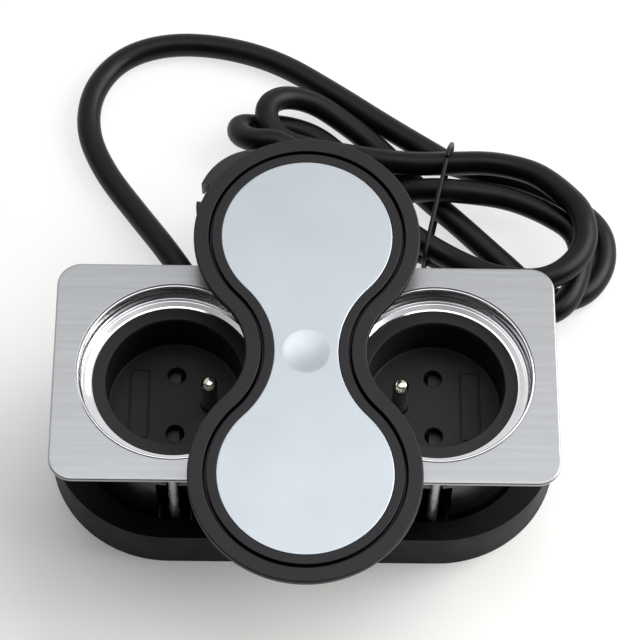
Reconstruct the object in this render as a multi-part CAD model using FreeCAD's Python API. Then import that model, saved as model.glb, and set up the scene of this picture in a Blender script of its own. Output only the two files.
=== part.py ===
import FreeCAD, Part
import math
import os

V = FreeCAD.Vector
os.makedirs("parts", exist_ok=True)

# Flush-mounted double socket with a cover that lifts and turns.
# Millimetres. X runs along the plate, Y to the back, Z up from the table it lies on.
# The cover stands open, so that its long way lies along Y.

# Heights of the whole block
PLATE_TOP_Z = 54.0
SPLIT_Z = 14.0              # where the base meets the upper housing

# Sockets
SOCKET_X = 38.0             # from the middle to a socket's centre
RECESS_R = 20.0             # the plug face goes in here
RECESS_DEPTH = 15.2
ENTRY_BEVEL = 0.3           # at the recess's upper edge
PIN_R = 2.4                 # contact pins and the earth pin
CONTACT_Y = 9.5             # contacts lie this far to each side
CONTACT_HOLE_R = 2.7
EARTH_OFFSET = 10.0         # earth pin, towards the block's middle
EARTH_PIN_STAND = 15.4      # how far it stands up from the recess floor
PIN_ROOT_R = 2.2            # pins are thinner where they are held
PIN_ROOT_STAND = 0.4        # and a little past that
CUP_WALL = 2.2
CUP_FLOOR = 3.0
INSERT_RIM = 2.3            # width of the rim outside the cup
INSERT_RIM_THICK = 2.0
PANEL_OUT = 10.9            # middle of the bare framed panel in the recess floor, on the outer side
PANEL_WIDTH = 6.0
PANEL_LENGTH = 22.4
PANEL_LINE = 0.45           # width and depth of the groove that frames it
PANEL_LINE_DEPTH = 0.3

# Collars
COLLAR_SINK = 6.8           # from the plate's top down to the insert
COLLAR_WIDTH = 3.85         # outside the insert's rim
COLLAR_OVERLAP = 0.5        # holds the insert's rim down
COLLAR_FLANGE = 0.85
COLLAR_LIP = 0.6            # width of its top edge
COLLAR_BEVEL = 0.3          # from that edge down to the wall
COLLAR_STEP = 0.35          # the wall's lower half stands in by this much
COLLAR_RING = 0.9           # thickness of the flat ring at the wall's foot

# Plate and gasket
PLATE_THICK = 1.2
PLATE_MARGIN = 3.5          # past the housing's deck, all round
PLATE_CORNER_R = 7.0
PLATE_BEVEL = 0.5
GASKET_THICK = 1.0
GASKET_INSET = 0.6

# Housing
HOUSING_WALL = 2.0
DECK_WALL = 2.3             # outside the collar's flange
DECK_STEP = 2.5             # the deck stands out past the housing
DECK_THICK = 9.8
BASE_FLOOR = 2.0

# Clamp frame, screws and nuts
FRAME_GAP = 1.0             # between the frame and the housing
FRAME_WIDTH = 6.5
FRAME_STRETCH = 2.0         # its ends lie this much farther out
FRAME_HEIGHT = 16.0
FRAME_TAPER = 0.5
FRAME_TOP_WALL = 3.0
FRAME_OUTER_WALL = 2.2
FRAME_INNER_WALL = 1.8
SCREW_R = 1.5               # M3
SCREW_HEAD_R = 2.5
SCREW_SEAT = 1.6            # of the deck, left below the screws' heads
SCREW_HEAD = 1.6
SCREW_END_Z = 2.0
NUT_SIDE = 5.5
NUT_THICK = 2.4
NOTCH_HALF = 5.0
NOTCH_DEPTH = 3.6           # from the screw's line to the notch's floor
TAB_GAP = 0.6
TAB_BOTTOM_Z = 4.0
TAB_TOP_Z = 14.0

# Cover
LOBE_R = 33.0               # outside of the rim at each end
RIM_WIDTH = 4.0
GROOVE_WIDTH = 1.3
CARRIER_RING = 2.8
COVER_TRAVEL = 8.6          # lifted, as it stands, down to the plate
COVER_GAP = 0.3             # left under its seal when it is down
RIM_THICK = 2.0
DECK_PLATE = 1.8            # the shell's own plate, under the rim's level
INSERT_SHEET = 1.0
DIMPLE_R = 6.75
DIMPLE_DEPTH = 0.75
SEAL_INSET = 1.4
SEAL_WIDTH = 2.0
SEAL_STAND = 2.1

# Pivot: its sizes are shares of the room that the cover's waist leaves
HEAD_SHARE = 0.794          # the post's head, of the carrier's half width at the waist
POST_SHARE = 0.516          # the post, of its head
FLAT_SHARE = 0.837          # between its flats, of the post
POST_SCREW_SHARE = 0.747    # the circle of its screws, of its head
SLIDE_FIT = 0.06
SLEEVE_WALL = 1.94
SLEEVE_BOTTOM_Z = 25.6
TURN_FIT = 0.08
TOWER_WALL = 3.0
CLIP_EDGE = 0.6             # the clip reaches this far past the sleeve
STOP_WIDTH_DEG = 24.0
STOP_RIB_FROM_DEG = 196.0
STOP_RIB_TO_DEG = 344.0

# Contacts
BUSBAR_Z = 9.0
STRIP = 0.8                 # thickness of the contact strips
BUSBAR_WIDTH = 5.0
TULIP_GAP = 5.0
TULIP_TOP_Z = 25.0
EARTH_BAR_Z = 17.5
EARTH_BAR_THICK = 1.0
EARTH_RING = 2.7            # width of the bar's ring round the pivot
EARTH_RING_GAP = 2.3        # between that ring and the post's clip
CARRIER_Z = 21.0
CARRIER_THICK = 4.4
SHUTTER_THICK = 3.0
SHUTTER_GAP = 0.3
SHUTTER_WIDTH = 7.0
SHUTTER_REACH = 13.0
SHUTTER_TRAVEL = 6.5
SPRING_STOP_INSET = 6.0     # from the carrier's end to the spring's stop
SPRING_R = 1.4
SPRING_WIRE_R = 0.25
SPRING_TURNS = 7

# Cable
CORD_R = 3.8
WIRE_R = 1.25
WIRE_BELOW_BUSBAR = 3.6     # the neutral wire passes this far under the strips
LEAD_STRAIGHT = 12.0        # of the cable past its strain relief, up to the first bend
TIE_WIRE_R = 0.7

# Plug
PLUG_FACE = (-15.1, 68.6, 31.0)
PLUG_LEAN_DEG = 14.0
PLUG_TURN_DEG = -14.0       # about the line through its face's middle
PLUG_R = 18.7
PLUG_PIN_LENGTH = 19.0
PLUG_DISC = 11.0
PLUG_BACK = 30.0

# What follows from the sizes above
COVER_TOP_Z = PLATE_TOP_Z + COVER_GAP + SEAL_STAND + RIM_THICK + COVER_TRAVEL
PLATE_UNDER_Z = PLATE_TOP_Z - PLATE_THICK
INSERT_TOP_Z = PLATE_TOP_Z - COLLAR_SINK
INSERT_UNDER_Z = INSERT_TOP_Z - INSERT_RIM_THICK
RECESS_Z = INSERT_TOP_Z - RECESS_DEPTH
CUP_R = RECESS_R + CUP_WALL
CUP_UNDER_Z = RECESS_Z - CUP_FLOOR
INSERT_R = CUP_R + INSERT_RIM
COLLAR_R = INSERT_R + COLLAR_WIDTH
PLATE_OPENING_R = COLLAR_R + 0.05
COLLAR_FLANGE_R = COLLAR_R + COLLAR_FLANGE
DECK_R = COLLAR_FLANGE_R + DECK_WALL
HOUSING_R = DECK_R - DECK_STEP
HOUSING_IN_R = HOUSING_R - HOUSING_WALL
DECK_UNDER_Z = PLATE_UNDER_Z - DECK_THICK
PLATE_X = SOCKET_X + DECK_R + PLATE_MARGIN
PLATE_Y = DECK_R + PLATE_MARGIN
NOTCH_WALL_Y = CUP_R + 0.4
NOTCH_FLOOR_Y = NOTCH_WALL_Y + HOUSING_WALL
SCREW_Y = NOTCH_FLOOR_Y + NOTCH_DEPTH
SCREW_SEAT_Z = DECK_UNDER_Z + SCREW_SEAT
FRAME_HOLE_R = HOUSING_R + FRAME_GAP
FRAME_R = FRAME_HOLE_R + FRAME_WIDTH
FRAME_X = SOCKET_X + FRAME_STRETCH
CLAMP_SCREWS = ((-1, -1), (1, -1), (1, 1), (-1, 1))
EARTH_X = SOCKET_X - EARTH_OFFSET
CARRIER_R = CUP_R - 0.2
BAND_R = LOBE_R - RIM_WIDTH
RING_R = BAND_R - GROOVE_WIDTH
INSERT_LOBE_R = RING_R - CARRIER_RING
LOBE_TO_WAIST = SOCKET_X * (math.sqrt(2) - 1)
HEAD_R = HEAD_SHARE * (RING_R - LOBE_TO_WAIST)
POST_R = POST_SHARE * HEAD_R
POST_FLAT = FLAT_SHARE * POST_R
SLEEVE_IN_R = POST_R + SLIDE_FIT
SLEEVE_R = SLEEVE_IN_R + SLEEVE_WALL
SLEEVE_BORE_R = SLEEVE_R + TURN_FIT
TOWER_R = SLEEVE_BORE_R + TOWER_WALL
CLIP_R = SLEEVE_R + CLIP_EDGE
CARRIER_TOP_Z = CARRIER_Z + CARRIER_THICK
SHUTTER_Z = CARRIER_TOP_Z + SHUTTER_GAP


def disc(x, y, radius, z0, z1):
    return Part.makeCylinder(radius, z1 - z0, V(x, y, z0))


def block(x0, x1, y0, y1, z0, z1):
    return Part.makeBox(x1 - x0, y1 - y0, z1 - z0, V(x0, y0, z0))


def ring(x, y, inner, outer, z0, z1):
    return disc(x, y, outer, z0, z1).cut(disc(x, y, inner, z0 - 1, z1 + 1))


def at_each_socket(make):
    return [make(-SOCKET_X), make(SOCKET_X)]


def fused(shapes):
    return shapes[0].fuse(list(shapes[1:])).removeSplitter()


def bored(shape, cutters):
    return shape.cut(list(cutters)).removeSplitter()


def lathe(points, x=0.0, y=0.0):
    corners = [V(x + r, y, z) for r, z in points]
    face = Part.Face(Part.makePolygon(corners + corners[:1]))
    return face.revolve(V(x, y, 0), V(0, 0, 1), 360)


def extruded(wire, height):
    return Part.Face(wire).extrude(V(0, 0, height))


def stadium_wire(radius, half_spacing, z):
    a, b = half_spacing, radius
    return Part.Wire([
        Part.LineSegment(V(-a, -b, z), V(a, -b, z)).toShape(),
        Part.Arc(V(a, -b, z), V(a + b, 0, z), V(a, b, z)).toShape(),
        Part.LineSegment(V(a, b, z), V(-a, b, z)).toShape(),
        Part.Arc(V(-a, b, z), V(-a - b, 0, z), V(-a, -b, z)).toShape(),
    ])


def stadium(radius, half_spacing, z0, z1):
    return extruded(stadium_wire(radius, half_spacing, z0), z1 - z0)


def rounded_plate(half_x, half_y, corner_r, z0, z1):
    plate = block(-half_x, half_x, -half_y, half_y, z0, z1)
    upright = [e for e in plate.Edges if abs(e.Vertexes[0].X - e.Vertexes[-1].X) < 0.01
               and abs(e.Vertexes[0].Y - e.Vertexes[-1].Y) < 0.01]
    return plate.makeFillet(corner_r, upright)


def peanut_wire(lobe_r, z):
    """Outline of two lobes at the sockets' spacing, turned along Y, joined by hollow waist arcs."""
    waist_r = SOCKET_X * math.sqrt(2) - lobe_r
    k = lobe_r * math.sqrt(0.5)
    edges = []
    for side in (1, -1):
        lobe = SOCKET_X * side
        start = V(k * side, lobe - k * side, z)
        end = V(-k * side, lobe - k * side, z)
        edges.append(Part.Arc(start, V(0, lobe + lobe_r * side, z), end).toShape())
        waist = V(-(SOCKET_X - waist_r) * side, 0, z)
        edges.append(Part.Arc(end, waist, V(-k * side, -lobe + k * side, z)).toShape())
    return Part.Wire(edges)


def peanut(lobe_r, z0, z1):
    return extruded(peanut_wire(lobe_r, z0), z1 - z0)


def sector(inner, outer, z0, z1, from_deg, to_deg):
    """A piece of a ring round the pivot."""
    wedge = Part.makeCylinder(outer, z1 - z0, V(0, 0, z0), V(0, 0, 1), to_deg - from_deg)
    wedge.rotate(V(0, 0, 0), V(0, 0, 1), from_deg)
    return wedge.cut(disc(0, 0, inner, z0 - 1, z1 + 1))


def save(node, *solids):
    pieces = [s for shape in solids for s in shape.Solids]
    shape = pieces[0] if len(pieces) == 1 else Part.makeCompound(pieces)
    shape.exportStep("parts/" + node + ".step")
    print(node, len(pieces), round(sum(s.Volume for s in pieces), 1))


# Top plate and gasket
plate = rounded_plate(PLATE_X, PLATE_Y, PLATE_CORNER_R, PLATE_UNDER_Z, PLATE_TOP_Z)
top_edges = [e for e in plate.Edges if all(abs(v.Z - PLATE_TOP_Z) < 0.01 for v in e.Vertexes)]
plate = plate.makeChamfer(PLATE_BEVEL, top_edges)
plate_holes = at_each_socket(lambda x: disc(x, 0, PLATE_OPENING_R, PLATE_UNDER_Z - 1, PLATE_TOP_Z + 1))
plate_holes.append(disc(0, 0, SLEEVE_R + 0.2, PLATE_UNDER_Z - 1, PLATE_TOP_Z + 1))
save("top_plate", bored(plate, plate_holes))

GASKET_Z = PLATE_UNDER_Z - GASKET_THICK
gasket = rounded_plate(PLATE_X - GASKET_INSET, PLATE_Y - GASKET_INSET, PLATE_CORNER_R - GASKET_INSET,
                       GASKET_Z, PLATE_UNDER_Z)
save("plate_gasket", bored(gasket, [stadium(DECK_R + 0.05, SOCKET_X, GASKET_Z - 1, PLATE_UNDER_Z + 1)]))


# Collars: a lip flush with the plate, an upright wall with a small step, and a flat ring at its foot
COLLAR_FLANGE_Z = PLATE_UNDER_Z - 1.4
COLLAR_IN_R = INSERT_R - COLLAR_OVERLAP
COLLAR_WALL_R = COLLAR_R - COLLAR_LIP - COLLAR_BEVEL
COLLAR_FOOT_R = COLLAR_WALL_R - COLLAR_STEP
COLLAR_STEP_Z = COLLAR_FLANGE_Z - 0.8


def collar(x):
    return lathe([
        (COLLAR_IN_R, INSERT_TOP_Z),
        (COLLAR_R - 0.05, INSERT_TOP_Z),
        (COLLAR_R - 0.05, COLLAR_FLANGE_Z),
        (COLLAR_FLANGE_R, COLLAR_FLANGE_Z),
        (COLLAR_FLANGE_R, PLATE_UNDER_Z),
        (COLLAR_R, PLATE_UNDER_Z),
        (COLLAR_R, PLATE_TOP_Z),
        (COLLAR_R - COLLAR_LIP, PLATE_TOP_Z),
        (COLLAR_WALL_R, PLATE_TOP_Z - COLLAR_BEVEL),
        (COLLAR_WALL_R, COLLAR_STEP_Z),
        (COLLAR_FOOT_R, COLLAR_STEP_Z - COLLAR_STEP),
        (COLLAR_FOOT_R, INSERT_TOP_Z + COLLAR_RING),
        (COLLAR_IN_R + 0.4, INSERT_TOP_Z + COLLAR_RING - 0.2),
        (COLLAR_IN_R, INSERT_TOP_Z + COLLAR_RING / 2),
    ], x)


left_collar, right_collar = at_each_socket(collar)
save("collar_left", left_collar)
save("collar_right", right_collar)


# Socket inserts: the round wall of the recess with its rim, and below it the floor
def socket_insert(x):
    wall = fused([
        disc(x, 0, CUP_R, RECESS_Z, INSERT_TOP_Z),
        disc(x, 0, INSERT_R, INSERT_UNDER_Z, INSERT_TOP_Z),
    ])
    return bored(wall, [
        disc(x, 0, RECESS_R, RECESS_Z - 1, INSERT_TOP_Z + 1),
        Part.makeCone(RECESS_R, RECESS_R + 2 * ENTRY_BEVEL, 2 * ENTRY_BEVEL,
                      V(x, 0, INSERT_TOP_Z - ENTRY_BEVEL)),
    ])


def panel_outline(x, inset, z0, z1):
    """The framed panel's field in the recess floor, on the block's outer side."""
    middle = x + math.copysign(PANEL_OUT, x)
    half_x, half_y = PANEL_WIDTH / 2 - inset, PANEL_LENGTH / 2 - inset
    return block(middle - half_x, middle + half_x, -half_y, half_y, z0, z1)


def recess_floor(x):
    """A disc with the contact holes, the earth pin's hole and the panel's frame."""
    line = panel_outline(x, 0, RECESS_Z - PANEL_LINE_DEPTH, RECESS_Z + 1)
    line = line.cut(panel_outline(x, PANEL_LINE, RECESS_Z - 1, RECESS_Z + 2))
    holes = [disc(x - math.copysign(EARTH_OFFSET, x), 0, PIN_R + 0.1, CUP_UNDER_Z - 1, RECESS_Z + 1)]
    for y in (-CONTACT_Y, CONTACT_Y):
        holes.append(disc(x, y, CONTACT_HOLE_R, CUP_UNDER_Z - 1, RECESS_Z + 1))
    return bored(disc(x, 0, CUP_R, CUP_UNDER_Z, RECESS_Z), holes + [line])


left_insert, right_insert = at_each_socket(socket_insert)
save("socket_insert_left", left_insert)
save("socket_insert_right", right_insert)
left_floor, right_floor = at_each_socket(recess_floor)
save("recess_floor_left", left_floor)
save("recess_floor_right", right_floor)

EARTH_PIN_TOP_Z = RECESS_Z + EARTH_PIN_STAND
EARTH_SHOULDER_Z = EARTH_BAR_Z + EARTH_BAR_THICK


def earth_pin(x):
    root = disc(x, 0, PIN_ROOT_R, EARTH_BAR_Z - 0.6, EARTH_PIN_TOP_Z - PIN_R)
    shaft = disc(x, 0, PIN_R, RECESS_Z + PIN_ROOT_STAND, EARTH_PIN_TOP_Z - PIN_R)
    tip = Part.makeSphere(PIN_R, V(x, 0, EARTH_PIN_TOP_Z - PIN_R))
    shoulder = disc(x, 0, PIN_R + 1.2, EARTH_SHOULDER_Z, EARTH_SHOULDER_Z + 0.8)
    return fused([root, shaft, tip, shoulder])


save("earth_pins", earth_pin(-EARTH_X), earth_pin(EARTH_X))

# Upper housing: a hollow body below, and the deck that carries plate, collars and inserts
housing_top = stadium(HOUSING_R, SOCKET_X, SPLIT_Z, DECK_UNDER_Z)
housing_top = housing_top.cut(stadium(HOUSING_IN_R, SOCKET_X, SPLIT_Z - 1, DECK_UNDER_Z))
deck = stadium(DECK_R, SOCKET_X, DECK_UNDER_Z, PLATE_UNDER_Z)


def notch(side_x, side_y, z0, z1, grow=0.0):
    """The channel in the housing's side that a clamp screw and the frame's tab run in."""
    x = SOCKET_X * side_x
    near = (NOTCH_FLOOR_Y - grow) * side_y
    far = (HOUSING_R + 5) * side_y if grow == 0 else (HOUSING_IN_R + 0.2) * side_y
    return block(x - NOTCH_HALF - grow, x + NOTCH_HALF + grow, min(near, far), max(near, far), z0, z1)


TOWER_BOTTOM_Z = 28.0
upper_parts = [housing_top, deck, disc(0, 0, TOWER_R, TOWER_BOTTOM_Z, DECK_UNDER_Z)]
upper_parts.append(sector(SLEEVE_R + 0.3, TOWER_R, SLEEVE_BOTTOM_Z, TOWER_BOTTOM_Z,
                          STOP_RIB_FROM_DEG, STOP_RIB_TO_DEG))
for sx, sy in CLAMP_SCREWS:
    upper_parts.append(notch(sx, sy, SPLIT_Z, DECK_UNDER_Z, HOUSING_WALL))

CARRIER_BOSS = (15.0, CARRIER_R - 3.0)
SMALL_SCREW_R = 1.0
HOUSING_SCREW_R = 1.1
HOUSING_BOSS_R = 2.4
HOUSING_BOSS_INSET = 2.2    # from the housing's inner wall to the boss's centre
HOUSING_BOSS_DEG = 30.0
boss_out = HOUSING_IN_R - HOUSING_BOSS_INSET
HOUSING_BOSS = (SOCKET_X + boss_out * math.cos(math.radians(HOUSING_BOSS_DEG)),
                boss_out * math.sin(math.radians(HOUSING_BOSS_DEG)))
CARRIER_SCREW_BITE = 6.0    # how deep the screws go past the joint
HOUSING_SCREW_BITE = 10.0
SCREW_HOLE_REST = 1.0       # hole left beyond their ends
for sx, sy in CLAMP_SCREWS:
    upper_parts.append(disc(CARRIER_BOSS[0] * sx, CARRIER_BOSS[1] * sy, 3.5, CARRIER_TOP_Z, DECK_UNDER_Z))
    upper_parts.append(disc(HOUSING_BOSS[0] * sx, HOUSING_BOSS[1] * sy, HOUSING_BOSS_R,
                            SPLIT_Z, DECK_UNDER_Z))
housing_upper = fused(upper_parts)

SLEEVE_FLANGE_R = SLEEVE_R + 1.0
SLEEVE_POCKET_Z = PLATE_UNDER_Z - 1.5
upper_cuts = [
    disc(0, 0, SLEEVE_BORE_R, TOWER_BOTTOM_Z - 5, PLATE_UNDER_Z + 1),
    disc(0, 0, SLEEVE_FLANGE_R + 0.2, SLEEVE_POCKET_Z, PLATE_UNDER_Z + 1),
]
for x in (-SOCKET_X, SOCKET_X):
    upper_cuts += [
        disc(x, 0, CUP_R + 0.2, DECK_UNDER_Z - 1, PLATE_UNDER_Z + 1),
        disc(x, 0, INSERT_R + 0.2, INSERT_UNDER_Z, PLATE_UNDER_Z + 1),
        disc(x, 0, COLLAR_R + 0.15, INSERT_TOP_Z, PLATE_UNDER_Z + 1),
        disc(x, 0, COLLAR_FLANGE_R + 0.2, COLLAR_FLANGE_Z - 0.1, PLATE_UNDER_Z + 1),
    ]
for sx, sy in CLAMP_SCREWS:
    x, y, out = SOCKET_X * sx, SCREW_Y * sy, (DECK_R + 2) * sy
    upper_cuts += [
        notch(sx, sy, SPLIT_Z - 1, DECK_UNDER_Z),
        disc(x, y, SCREW_R + 0.2, DECK_UNDER_Z - 1, SCREW_SEAT_Z + 1),
        block(x - SCREW_R - 0.2, x + SCREW_R + 0.2, min(y, out), max(y, out),
              DECK_UNDER_Z - 1, SCREW_SEAT_Z),
        disc(x, y, SCREW_HEAD_R + 0.2, SCREW_SEAT_Z, SCREW_SEAT_Z + SCREW_HEAD + 0.4),
        block(x - SCREW_HEAD_R - 0.2, x + SCREW_HEAD_R + 0.2, min(y, out), max(y, out),
              SCREW_SEAT_Z, SCREW_SEAT_Z + SCREW_HEAD + 0.4),
        disc(CARRIER_BOSS[0] * sx, CARRIER_BOSS[1] * sy, SMALL_SCREW_R,
             CARRIER_TOP_Z - 1, CARRIER_TOP_Z + CARRIER_SCREW_BITE + SCREW_HOLE_REST),
        disc(HOUSING_BOSS[0] * sx, HOUSING_BOSS[1] * sy, HOUSING_SCREW_R,
             SPLIT_Z - 1, SPLIT_Z + HOUSING_SCREW_BITE + SCREW_HOLE_REST),
    ]
save("housing_upper", bored(housing_upper, upper_cuts))

# Base: a tray with the cable's boss, pillars for the screws and posts for the contact strips
BOSS_HEADING_DEG = 122.0
BOSS_X = -20.0
BOSS_AT = V(BOSS_X, HOUSING_R, 2 * CORD_R)
BOSS_AXIS = V(math.cos(math.radians(BOSS_HEADING_DEG)), math.sin(math.radians(BOSS_HEADING_DEG)), 0)
BOSS_ACROSS = V(BOSS_AXIS.y, -BOSS_AXIS.x, 0)
BOSS_R = 5.6
BOSS_FROM = -6.0
BOSS_TO = 8.0
JACKET_FROM = -12.6
BAR_AT = -10.0              # the cord clamp's place on the same line
BAR_SCREW_OUT = 6.0
BAR_THICK = 1.8
RELIEF_LENGTH = 22.0


def on_boss_line(t, across=0.0, z=None):
    p = BOSS_AT + BOSS_AXIS * t + BOSS_ACROSS * across
    return V(p.x, p.y, BOSS_AT.z if z is None else z)


def along_boss(radius, t0, t1):
    return Part.makeCylinder(radius, t1 - t0, on_boss_line(t0), BOSS_AXIS)


base_shell = stadium(HOUSING_R, SOCKET_X, 0, SPLIT_Z)
base_shell = base_shell.cut(stadium(HOUSING_IN_R, SOCKET_X, BASE_FLOOR, SPLIT_Z + 1))
base_parts = [base_shell, along_boss(BOSS_R, BOSS_FROM, BOSS_TO)]
for sx, sy in CLAMP_SCREWS:
    base_parts.append(notch(sx, sy, 0, SPLIT_Z, HOUSING_WALL))
    base_parts.append(disc(HOUSING_BOSS[0] * sx, HOUSING_BOSS[1] * sy, 2.9, 0, SPLIT_Z))
BUSBAR_POST_X = 20.0
PEG_R = 1.2
for sx, sy in CLAMP_SCREWS:
    x, y = BUSBAR_POST_X * sx, CONTACT_Y * sy
    base_parts.append(block(x - 2, x + 2, y - 2.2, y + 2.2, BASE_FLOOR - 1, BUSBAR_Z))
    base_parts.append(disc(x, y, PEG_R, BUSBAR_Z - 1, BUSBAR_Z + STRIP + 0.8))
EARTH_POST_X = 23.0
for sx in (-1, 1):
    x = EARTH_POST_X * sx
    base_parts.append(block(x - 1.6, x + 1.6, -2.2, 2.2, BASE_FLOOR - 1, EARTH_BAR_Z))
    base_parts.append(disc(x, 0, PEG_R, EARTH_BAR_Z - 1, EARTH_BAR_Z + EARTH_BAR_THICK + 0.8))
bar_top = BOSS_AT.z + CORD_R
saddle_mid = on_boss_line(BAR_AT)
for across in (-BAR_SCREW_OUT, BAR_SCREW_OUT):
    p = on_boss_line(BAR_AT, across)
    base_parts.append(disc(p.x, p.y, 2.2, BASE_FLOOR - 1, bar_top))
base_parts.append(disc(saddle_mid.x, saddle_mid.y, 2.2, BASE_FLOOR - 1, BOSS_AT.z))
housing_base = fused(base_parts)

base_cuts = [along_boss(4.3, BOSS_FROM - 1, BOSS_TO + 1), along_boss(CORD_R, JACKET_FROM - 4, BOSS_FROM)]
for sx, sy in CLAMP_SCREWS:
    x, y = HOUSING_BOSS[0] * sx, HOUSING_BOSS[1] * sy
    base_cuts.append(notch(sx, sy, -1, SPLIT_Z + 1))
    base_cuts.append(disc(x, y, HOUSING_SCREW_R + 0.1, -1, SPLIT_Z + 1))
    base_cuts.append(disc(x, y, 2.2, -1, BASE_FLOOR - 0.4))
for across in (-BAR_SCREW_OUT, BAR_SCREW_OUT):
    p = on_boss_line(BAR_AT, across)
    base_cuts.append(disc(p.x, p.y, SMALL_SCREW_R, bar_top - 6, bar_top + 1))
save("housing_base", bored(housing_base, base_cuts))

# Cord strain relief, jacket end and cord clamp
relief = fused([
    along_boss(BOSS_R - 0.2, BOSS_FROM - 1.5, BOSS_FROM),
    along_boss(4.28, BOSS_FROM - 1, BOSS_TO + 1),
    Part.makeCone(BOSS_R, CORD_R + 0.8, RELIEF_LENGTH, on_boss_line(BOSS_TO), BOSS_AXIS),
])
save("cord_relief", relief.cut(along_boss(CORD_R, BOSS_FROM - 3, BOSS_TO + RELIEF_LENGTH + 1)))
save("cord_inner_end", along_boss(CORD_R, JACKET_FROM, BOSS_TO + RELIEF_LENGTH))

bar = block(-BAR_SCREW_OUT - 2, BAR_SCREW_OUT + 2, -2, 2, bar_top, bar_top + BAR_THICK)
for side in (-1, 1):
    bar = bar.cut(disc(BAR_SCREW_OUT * side, 0, SMALL_SCREW_R + 0.1, bar_top - 1, bar_top + BAR_THICK + 1))
bar.rotate(V(0, 0, 0), V(0, 0, 1), BOSS_HEADING_DEG - 90)
bar.translate(V(saddle_mid.x, saddle_mid.y, 0))
save("cord_clamp_bar", bar)


def pan_screw(x, y, seat_z, shank_r, head_r, head_height, end_z, slot=0.5):
    """A slotted screw whose head rests on seat_z. An end_z above the seat makes it point up."""
    up = 1 if end_z > seat_z else -1
    top = seat_z - up * head_height
    shank = disc(x, y, shank_r, min(seat_z, end_z), max(seat_z, end_z))
    head = disc(x, y, head_r, min(seat_z, top), max(seat_z, top))
    slot_z = sorted((top, top + up * head_height * 0.45))
    groove = block(x - head_r - 1, x + head_r + 1, y - slot / 2, y + slot / 2, slot_z[0], slot_z[1])
    return fused([shank, head]).cut(groove)


bar_screws = []
for across in (-BAR_SCREW_OUT, BAR_SCREW_OUT):
    p = on_boss_line(BAR_AT, across)
    bar_screws.append(pan_screw(p.x, p.y, bar_top + BAR_THICK, SMALL_SCREW_R, 1.9, 1.4, bar_top - 5))
save("cord_clamp_screws", *bar_screws)

carrier_screws = []
housing_screws = []
for sx, sy in CLAMP_SCREWS:
    x, y = CARRIER_BOSS[0] * sx, CARRIER_BOSS[1] * sy
    carrier_screws.append(pan_screw(x, y, CARRIER_Z, SMALL_SCREW_R, 2.0, 1.5,
                                    CARRIER_TOP_Z + CARRIER_SCREW_BITE))
    x, y = HOUSING_BOSS[0] * sx, HOUSING_BOSS[1] * sy
    housing_screws.append(pan_screw(x, y, BASE_FLOOR - 0.4, HOUSING_SCREW_R, 2.0, 1.4,
                                    SPLIT_Z + HOUSING_SCREW_BITE))
save("carrier_screws", *carrier_screws)
save("housing_screws", *housing_screws)

# Clamp frame: a ring hollow from below, with four tabs that the screws pull up
frame_outer = Part.makeLoft([stadium_wire(FRAME_R, FRAME_X, 0),
                             stadium_wire(FRAME_R - FRAME_TAPER, FRAME_X, FRAME_HEIGHT)], True, True)
frame_channel = stadium(FRAME_R - FRAME_OUTER_WALL, FRAME_X, -1, FRAME_HEIGHT - FRAME_TOP_WALL)
frame_channel = frame_channel.cut(stadium(FRAME_HOLE_R + FRAME_INNER_WALL, SOCKET_X, -2, FRAME_HEIGHT))
frame_parts = [frame_outer.cut([frame_channel, stadium(FRAME_HOLE_R, SOCKET_X, -1, FRAME_HEIGHT + 1)])]
for sx, sy in CLAMP_SCREWS:
    near, far = (NOTCH_FLOOR_Y + TAB_GAP) * sy, (FRAME_HOLE_R + FRAME_INNER_WALL + 0.2) * sy
    x = SOCKET_X * sx
    half = NOTCH_HALF - TAB_GAP
    frame_parts.append(block(x - half, x + half, min(near, far), max(near, far), TAB_BOTTOM_Z, TAB_TOP_Z))
clamp_frame = fused(frame_parts)
frame_cuts = []
for sx, sy in CLAMP_SCREWS:
    x, y, half = SOCKET_X * sx, SCREW_Y * sy, NUT_SIDE / 2 + 0.05
    frame_cuts.append(disc(x, y, SCREW_R + 0.3, 0, TAB_TOP_Z + 1))
    frame_cuts.append(block(x - half, x + half, y - half, y + half,
                            TAB_BOTTOM_Z - 1, TAB_BOTTOM_Z + NUT_THICK + 0.1))
CABLE_NOTCH_HALF = 10.5
cable_x = on_boss_line(BOSS_TO / 2).x
frame_cuts.append(block(cable_x - CABLE_NOTCH_HALF, cable_x + CABLE_NOTCH_HALF, 0, FRAME_R + 5,
                        -1, BOSS_AT.z + BOSS_R + 0.5))
save("clamp_frame", bored(clamp_frame, frame_cuts))

nuts = []
for sx, sy in CLAMP_SCREWS:
    x, y, half = SOCKET_X * sx, SCREW_Y * sy, NUT_SIDE / 2
    nut = block(x - half, x + half, y - half, y + half, TAB_BOTTOM_Z + 0.1, TAB_BOTTOM_Z + NUT_THICK + 0.1)
    nuts.append(nut.cut(disc(x, y, SCREW_R + 0.05, 0, TAB_TOP_Z)))
save("clamp_nuts", *nuts)

for number, (sx, sy) in enumerate(CLAMP_SCREWS, 1):
    x, y = SOCKET_X * sx, SCREW_Y * sy
    screw = fused([
        disc(x, y, SCREW_R, SCREW_END_Z, SCREW_SEAT_Z + 0.1),
        disc(x, y, SCREW_HEAD_R, SCREW_SEAT_Z + 0.1, SCREW_SEAT_Z + 0.1 + SCREW_HEAD),
    ])
    drive = block(x - SCREW_R - 1, x + SCREW_R + 1, y - 0.3, y + 0.3, SCREW_END_Z - 1, SCREW_END_Z + 1)
    save("clamp_screw_%d" % number, screw.cut(drive))

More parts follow.
